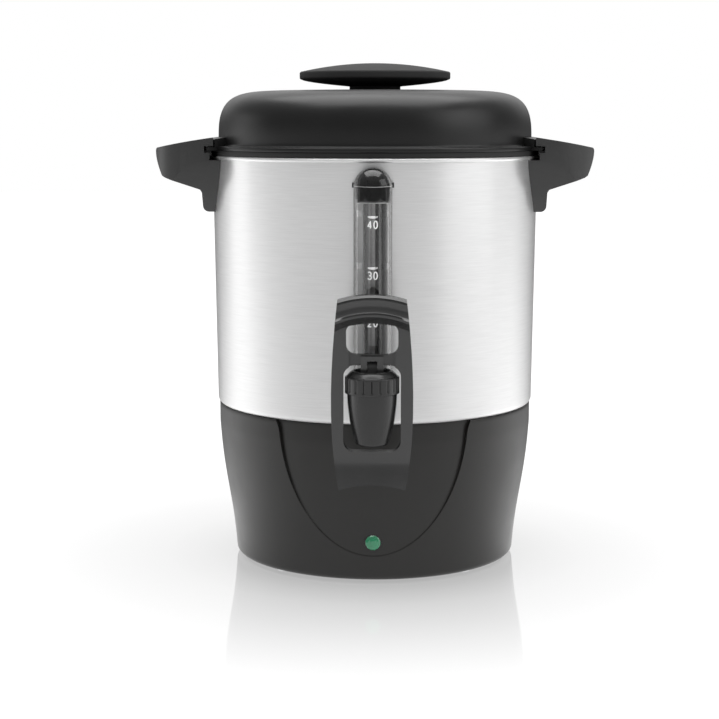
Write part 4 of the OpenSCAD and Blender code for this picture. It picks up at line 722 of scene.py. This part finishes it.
def block(x0, x1, y0, y1, z0, z1, ease=0.4):
    """A small block with eased upright edges."""
    plan = eased([[x0, y0], [x1, y0], [x1, y1], [x0, y1]], ease, 4)
    rows = [np.column_stack([mix(plan.mean(0), plan, k), np.full(len(plan), z)])
            for k, z in ((0, z0), (1, z0), (1, z1), (0, z1))]
    return np.concatenate(rows), [grid_faces(4, len(plan), wrap_cols=True)]


def patch(x0, x1, z0, z1, front_r, back_r):
    """A curved plate on the gauge's half round, from x0 to x1, between two radii."""
    x = np.linspace(x0, x1, 9)
    ring = [np.column_stack([x, GAUGE_Y - np.sqrt(r * r - x * x)]) for r in (front_r, back_r)]
    plan = np.concatenate([ring[0], ring[1][::-1]])
    rows = [np.column_stack([mix(plan.mean(0), plan, k), np.full(len(plan), z)])
            for k, z in ((0, z0), (1, z0), (1, z1), (0, z1))]
    return np.concatenate(rows), [grid_faces(4, len(plan), wrap_cols=True)]


PAD_IN, PAD_OUT, PAD_H, PAD_T = 6.2, 10.4, 4.2, 0.9
PAD_FRONT_R = SHIELD_R - SHIELD_T - 0.02
# Painted shade: black blocks stand in for the dark look of the shield's clear ears
shaded_ear_blocks = [block(s * 12.6 - 1.4, s * 12.6 + 1.4, -121.5, -115.7, 275.4, 278.6) for s in (-1, 1)]
put_mesh("shield_shell", [shell], SHIELD_CLEAR, "root", ["gauge_shield"])
put_mesh("shield_ears_painted_shade", shaded_ear_blocks, CAP_BLACK, "root")
pads = [patch(min(s * PAD_IN, s * PAD_OUT), max(s * PAD_IN, s * PAD_OUT), z, z + PAD_H,
              PAD_FRONT_R, SHIELD_R - SHIELD_T - PAD_T)
        for s in (-1, 1) for z in (256.9, 222.3, 187.7)]
put_mesh("shield_pads", pads, PAD_CLEAR, "root")
cap_line = np.concatenate([
    [[TUBE_R + 0.1, CAP_LOW + 0.3], [CAP_R - 0.4, CAP_LOW], [CAP_R, CAP_LOW + 0.4]],
    arc(0, CAP_DOME_Z, CAP_R, 0, 90, 30), [[0, TUBE_TOP], [TUBE_R + 0.1, TUBE_TOP]]])
put_mesh("gauge_cap_dome", [lathe(cap_line, (0, GAUGE_Y), 96)], CAP_BLACK, "root",
         ["gauge_cap"])
tube_line = eased([[TUBE_R - TUBE_WALL, SOCKET_Z], [TUBE_R, SOCKET_Z], [TUBE_R, TUBE_TOP],
                   [TUBE_R - TUBE_WALL, TUBE_TOP]], 0.3, 4)
put_mesh("gauge_tube_glass", [lathe(tube_line, (0, GAUGE_Y), 96)], TUBE_CLEAR, "root",
         ["gauge_tube"])

# %% [markdown]
# ## The gauge's marks
# White ticks, flat on top and round below, and rounded numerals mark the cups. The numerals are
# drawn as strokes: a round pen carried along each figure's line, pressed against the shield. The
# same pen draws light grey lines along the edge of the shield's window and the seam over it.

# %% Ticks, numerals, window edge
# Each figure is a few strokes on a grid 2 wide and 3 high: straight lines and arcs
STROKES = {
    "0": [[(1 + np.sin(t) * 0.92, 1.5 - 1.5 * np.cos(t)) for t in np.linspace(0, 2 * np.pi, 33)]],
    "4": [[(1.45, 0), (1.45, 3), (0, 0.85), (2, 0.85)]],
    "3": [[(0.95 - 0.85 * np.cos(t), 2.22 + 0.78 * np.sin(t)) for t in np.linspace(0.5, 4.6, 17)]
          + [(0.95 + 0.95 * np.sin(t), 0.8 + 0.8 * np.cos(t)) for t in np.linspace(0.0, 4.3, 17)]],
    "2": [[(1 - 0.9 * np.cos(t), 2.15 + 0.85 * np.sin(t)) for t in np.linspace(0.1, 3.7, 17)]
          + [(0.05, 0), (1.95, 0)]],
}


INK_T = 0.12  # how thick every mark is


def pen(route, width, height_of):
    """A flat ribbon of a given width along a route of (x, z): its sides lie half a width to the
    left and right of each point, and height_of(x) says how far forward it lies."""
    p = np.asarray(route, float)
    d = np.gradient(p, axis=0)
    d /= np.linalg.norm(d, axis=1)[:, None]
    side = np.stack([-d[:, 1], d[:, 0]], -1) * width / 2
    a, b = p + side, p - side
    grid = np.stack([a, b], 1)
    front = height_of(grid[..., 0])
    top = np.stack([grid[..., 0], front, grid[..., 1]], -1)
    back = top + [0, INK_T, 0]
    loop = np.stack([top[:, 0], top[:, 1], back[:, 1], back[:, 0]], 1)
    caps = np.concatenate([loop[:1].mean(1, keepdims=True) + 0 * loop[:1], loop,
                           loop[-1:].mean(1, keepdims=True) + 0 * loop[-1:]])
    return caps.reshape(-1, 3), [grid_faces(len(p) + 2, 4, wrap_cols=True)]


def on_shield(x):
    """Just in front of the round face of the shield."""
    return GAUGE_Y - np.sqrt(SHIELD_R ** 2 - x ** 2) - 0.05


marks = []
TICK_HALF, TICK_TALL, DIGIT_W, DIGIT_H, PEN_W = 3.4, 1.6, 2.4, 4.8, 0.8
DIGIT_APART, DIGIT_DROP = 1.95, 7.3
for tick_z, figures in ((256.8, "40"), (223.3, "30"), (191.9, "20")):
    across = np.linspace(-1, 1, 25)
    flat_top = np.stack([across * TICK_HALF, tick_z + TICK_TALL / 2 - 0.25 * across ** 2], -1)
    keel = np.stack([across[::-1] * TICK_HALF, tick_z + TICK_TALL / 2 - 0.35 - (TICK_TALL - 0.35)
                     * np.sqrt(np.clip(1 - across ** 2, 0, 1))], -1)
    outline = np.concatenate([flat_top, keel])
    grid = np.stack([outline.mean(0) + 0 * outline, outline])
    flat = np.stack([grid[..., 0], on_shield(grid[..., 0]), grid[..., 1]], -1)
    back = flat + [0, INK_T, 0]
    marks.append((np.concatenate([flat[0], flat[1], back[1], back[0]]),
                  [grid_faces(4, len(outline), wrap_cols=True)]))
    for figure, middle in zip(figures, (-DIGIT_APART, DIGIT_APART)):
        corner_at = [middle - DIGIT_W / 2, tick_z - DIGIT_DROP]
        for stroke in STROKES[figure]:
            s = np.asarray(stroke, float) * [DIGIT_W / 2, DIGIT_H / 3] + corner_at
            fine = np.concatenate([mix(s[i], s[i + 1], np.linspace(0, 1, 5)[:-1, None])
                                   for i in range(len(s) - 1)] + [s[-1:]])
            marks.append(pen(fine, PEN_W, on_shield))
put_mesh("gauge_marks", marks, MARK_WHITE, "root")

WINDOW_X, WINDOW_ROUND, SEAM_HALF, SEAM_Z = 10.4, 2.2, 12.7, 276.9
left_side = np.stack([np.full(30, -WINDOW_X),
                      np.linspace(SHIELD_LOW + 0.5, WINDOW_TOP - WINDOW_ROUND, 30)], -1)
corner = arc(WINDOW_ROUND - WINDOW_X, WINDOW_TOP - WINDOW_ROUND, WINDOW_ROUND, 180, 90, 9)[1:]
top_side = np.stack([np.linspace(-WINDOW_X + WINDOW_ROUND, 0, 12)[1:], np.full(11, WINDOW_TOP)], -1)
half = np.concatenate([left_side, corner, top_side])
seam_x = np.linspace(-SEAM_HALF, SEAM_HALF, 41)
seam = np.stack([seam_x, SEAM_Z - 0.5 * (1 - (seam_x / SEAM_HALF) ** 2)], -1)
put_mesh("window_edge", [pen(np.concatenate([half, half[-2::-1] * [-1, 1]]), 0.4, on_shield),
                         pen(seam, 0.35, on_shield)], EDGE_CLEAR, "root")

# %% [markdown]
# ## The power light
# The light's lens is a green jewel in a dark rim. Three rings of facets turn a plain dome into a
# cut stone: each ring is twisted by half a facet against the next, so the flat faces slant.

# %% Jewel lens
LENS_Z, LENS_R, LENS_FACE, LENS_BACK, FACETS = 29.8, 5.3, -105.71, -99.91, 12
RIM_FACE, RIM_BACK, RIM_ROUND = -105.6, -103.5, 0.35
# Each row of the jewel: radius, y, and its twist in facets
jewel_rows = [(0, -107.3, 0), (1.6, -107.25, 0), (3.3, -106.95, 0.5), (4.7, -106.3, 0),
              (LENS_R, LENS_FACE, 0.5), (LENS_R, LENS_BACK, 0.5), (0, LENS_BACK, 0)]
jewel = []
for r, y, shift in jewel_rows:
    a = (np.arange(FACETS) + shift) * 2 * np.pi / FACETS
    jewel.append(np.stack([r * np.sin(a), np.full(FACETS, y), LENS_Z + r * np.cos(a)], -1))
put_mesh("lens_jewel", [(np.concatenate(jewel),
                         [grid_faces(len(jewel_rows), FACETS, wrap_cols=True)])], LENS_GREEN,
         "root", ["indicator_lens"], crease=4)
rim_line = eased([[LENS_R - 0.3, RIM_FACE], [LENS_R + 0.9, RIM_FACE],
                  [LENS_R + 0.9, RIM_BACK], [LENS_R - 0.3, RIM_BACK]], RIM_ROUND, 4)
ring = lathe(rim_line, columns=64)[0]
# The lathe's ring lies level, so it is turned to face forward
put_mesh("lens_rim", [(np.stack([ring[:, 0], ring[:, 2], LENS_Z + ring[:, 1]], -1),
                       [grid_faces(len(rim_line), 64, wrap_rows=True, wrap_cols=True)])],
         CAP_BLACK, "root")

# %% [markdown]
# ## Floor, light and camera
# The urn stands on a white, slightly glossy table in a grey room, which the camera itself sees as
# plain white. One soft key lamp stands in front on the right, a broad panel hangs over the urn
# and gives the lid its bright crown, and a small low lamp fills in from behind on the left.

# %% The table
floor_mesh = bpy.data.meshes.new("floor")
floor_mesh.from_pydata([(-6, -6, 0), (6, -6, 0), (6, 6, 0), (-6, 6, 0)], [], [(0, 1, 2, 3)])
floor = bpy.data.objects.new("floor", floor_mesh)
bpy.context.scene.collection.objects.link(floor)


def shader_of(tree, kind, **sockets):
    """A shader node of one kind, its sockets set by name, and its output."""
    node = tree.nodes.new(kind)
    for socket, value in sockets.items():
        node.inputs[socket].default_value = value
    return node.outputs[0]


def blend(tree, fac, first, second):
    """A mix of two shaders: fac is a number or a socket, 0 gives the first."""
    node = tree.nodes.new("ShaderNodeMixShader")
    if isinstance(fac, float):
        node.inputs["Fac"].default_value = fac
    else:
        tree.links.new(fac, node.inputs["Fac"])
    tree.links.new(first, node.inputs[1])
    tree.links.new(second, node.inputs[2])
    return node.outputs[0]


def round_the_room(tree, way, stops):
    """A brightness that depends on the direction round the urn: the level direction's y, from
    -1 in front to 1 behind, is read from the stops."""
    level = tree.nodes.new("ShaderNodeVectorMath")
    level.operation = "MULTIPLY"
    level.inputs[1].default_value = (1, 1, 0)
    unit = tree.nodes.new("ShaderNodeVectorMath")
    unit.operation = "NORMALIZE"
    parts = tree.nodes.new("ShaderNodeSeparateXYZ")
    tree.links.new(way, level.inputs[0])
    tree.links.new(level.outputs[0], unit.inputs[0])
    tree.links.new(unit.outputs[0], parts.inputs[0])
    return curve(tree, spread(tree, parts.outputs["Y"], 0.0, 1.0, -1.0, 1.0), stops)


# Places run from 0 in front of the urn over 0.5 beside it to 1 behind it
SIDE_LIGHT = [(0.0, 0.85), (0.15, 0.88), (0.21, 0.95), (0.29, 1.05), (0.38, 1.2), (0.48, 1.5),
              (0.7, 1.55), (0.85, 0.85), (0.96, 0.2), (1.0, 0.05)]
ROOM_LIGHT = [(0.0, 0.36), (0.25, 0.34), (0.5, 0.3), (0.8, 0.2), (0.96, 0.1), (1.0, 0.08)]
floor_look = bpy.data.materials.new("white_table")
floor_look.use_nodes = True
tree = floor_look.node_tree
tree.nodes.clear()
where = tree.nodes.new("ShaderNodeTexCoord")
path = tree.nodes.new("ShaderNodeLightPath")
chalk = shader_of(tree, "ShaderNodeBsdfDiffuse", Color=(0.8, 0.8, 0.8, 1))
veil = shader_of(tree, "ShaderNodeBsdfDiffuse", Color=(0.3, 0.3, 0.3, 1))
glow = tree.nodes.new("ShaderNodeEmission")
away = tree.nodes.new("ShaderNodeVectorMath")
away.operation = "LENGTH"
tree.links.new(where.outputs["Object"], away.inputs[0])
tree.links.new(spread(tree, away.outputs["Value"], 0.78, 1.0, 0.2, 1.0), glow.inputs["Strength"])
lit = tree.nodes.new("ShaderNodeAddShader")
tree.links.new(veil, lit.inputs[0])
tree.links.new(glow.outputs[0], lit.inputs[1])
gloss = shader_of(tree, "ShaderNodeBsdfGlossy", Roughness=0.05)
# The table mirrors the urn's foot clearly and its body less and less towards the viewer
fade = curve(tree, spread(tree, away.outputs["Value"], 1.0, 0.0, -0.1, 0.4),
             [(0.08, 0.0), (0.16, 0.09), (0.31, 0.2), (0.49, 0.33), (0.54, 0.4), (0.6, 0.5),
              (0.7, 0.2), (0.85, 0.0)])
seen = blend(tree, fade, lit.outputs[0], gloss)
# In the urn's own gloss the table is bright beside the urn and dim in front and far behind
dim = tree.nodes.new("ShaderNodeEmission")
tree.links.new(round_the_room(tree, where.outputs["Object"], SIDE_LIGHT), dim.inputs["Strength"])
mirrored = blend(tree, path.outputs["Is Glossy Ray"], chalk, dim.outputs[0])
out = tree.nodes.new("ShaderNodeOutputMaterial")
tree.links.new(blend(tree, path.outputs["Is Camera Ray"], mirrored, seen), out.inputs["Surface"])
floor_mesh.materials.append(floor_look)
print("floor ready")

# %% The room
world = bpy.data.worlds.new("studio")
bpy.context.scene.world = world
world.use_nodes = True
tree = world.node_tree
tree.nodes.clear()
where = tree.nodes.new("ShaderNodeTexCoord")
split = tree.nodes.new("ShaderNodeSeparateXYZ")
tree.links.new(where.outputs["Generated"], split.inputs["Vector"])


def arithmetic(tree, kind, a, b):
    """A sum, product or the like of two numbers or sockets."""
    node = tree.nodes.new("ShaderNodeMath")
    node.operation = kind
    for socket, value in zip(node.inputs, (a, b)):
        if isinstance(value, float):
            socket.default_value = value
        else:
            tree.links.new(value, socket)
    return node.outputs[0]


back_wall = arithmetic(tree, "MULTIPLY", spread(tree, split.outputs["Z"], 0.0, 0.9, 0.02, 0.22),
                       spread(tree, split.outputs["Y"], 0.0, 1.0, 0.55, 0.92))
round_about = round_the_room(tree, where.outputs["Generated"], ROOM_LIGHT)
level = arithmetic(tree, "MULTIPLY", round_about,
                   spread(tree, split.outputs["Z"], 1.0, 0.0, 0.1, 0.6))
upwards = spread(tree, split.outputs["Z"], 0.0, 0.6, 0.1, 0.7)
room = tree.nodes.new("ShaderNodeBackground")
brightness = arithmetic(tree, "ADD", back_wall, arithmetic(tree, "ADD", level, upwards))
tree.links.new(brightness, room.inputs["Strength"])
white = shader_of(tree, "ShaderNodeBackground", Color=(1, 1, 1, 1))
path = tree.nodes.new("ShaderNodeLightPath")
out = tree.nodes.new("ShaderNodeOutputWorld")
seen = blend(tree, path.outputs["Is Camera Ray"], room.outputs[0], white)
tree.links.new(seen, out.inputs["Surface"])


def panel_lamp(name, place, size, watts, aim=(0, 0, 0.2)):
    """A soft rectangular lamp at place that faces aim, in metres and watts."""
    lamp = bpy.data.lights.new(name, "AREA")
    lamp.shape = "RECTANGLE"
    lamp.size, lamp.size_y = size
    lamp.energy = watts
    holder = bpy.data.objects.new(name, lamp)
    bpy.context.scene.collection.objects.link(holder)
    holder.rotation_euler = (Vector(aim) - Vector(place)).to_track_quat("-Z", "Y").to_euler()
    holder.location = place


panel_lamp("key_panel", (1.2, -0.5, 0.8), (1.0, 0.8), 3.6)
panel_lamp("top_panel", (0, 0.12, 1.45), (1.5, 1.4), 18)
panel_lamp("left_panel", (-1.34, 0.41, 0.45), (0.6, 0.6), 0.9)

camera = bpy.data.cameras.new("camera")
camera.sensor_width, camera.lens = 36.0, 87.29
camera_holder = bpy.data.objects.new("camera", camera)
bpy.context.scene.collection.objects.link(camera_holder)
camera_holder.location = (0.013, -1.2833, 0.3235)
camera_holder.rotation_euler = (np.radians(82.0), 0, 0.0189)
bpy.context.scene.camera = camera_holder
bpy.context.scene.view_settings.view_transform = "Standard"
print("camera at", tuple(camera_holder.location))
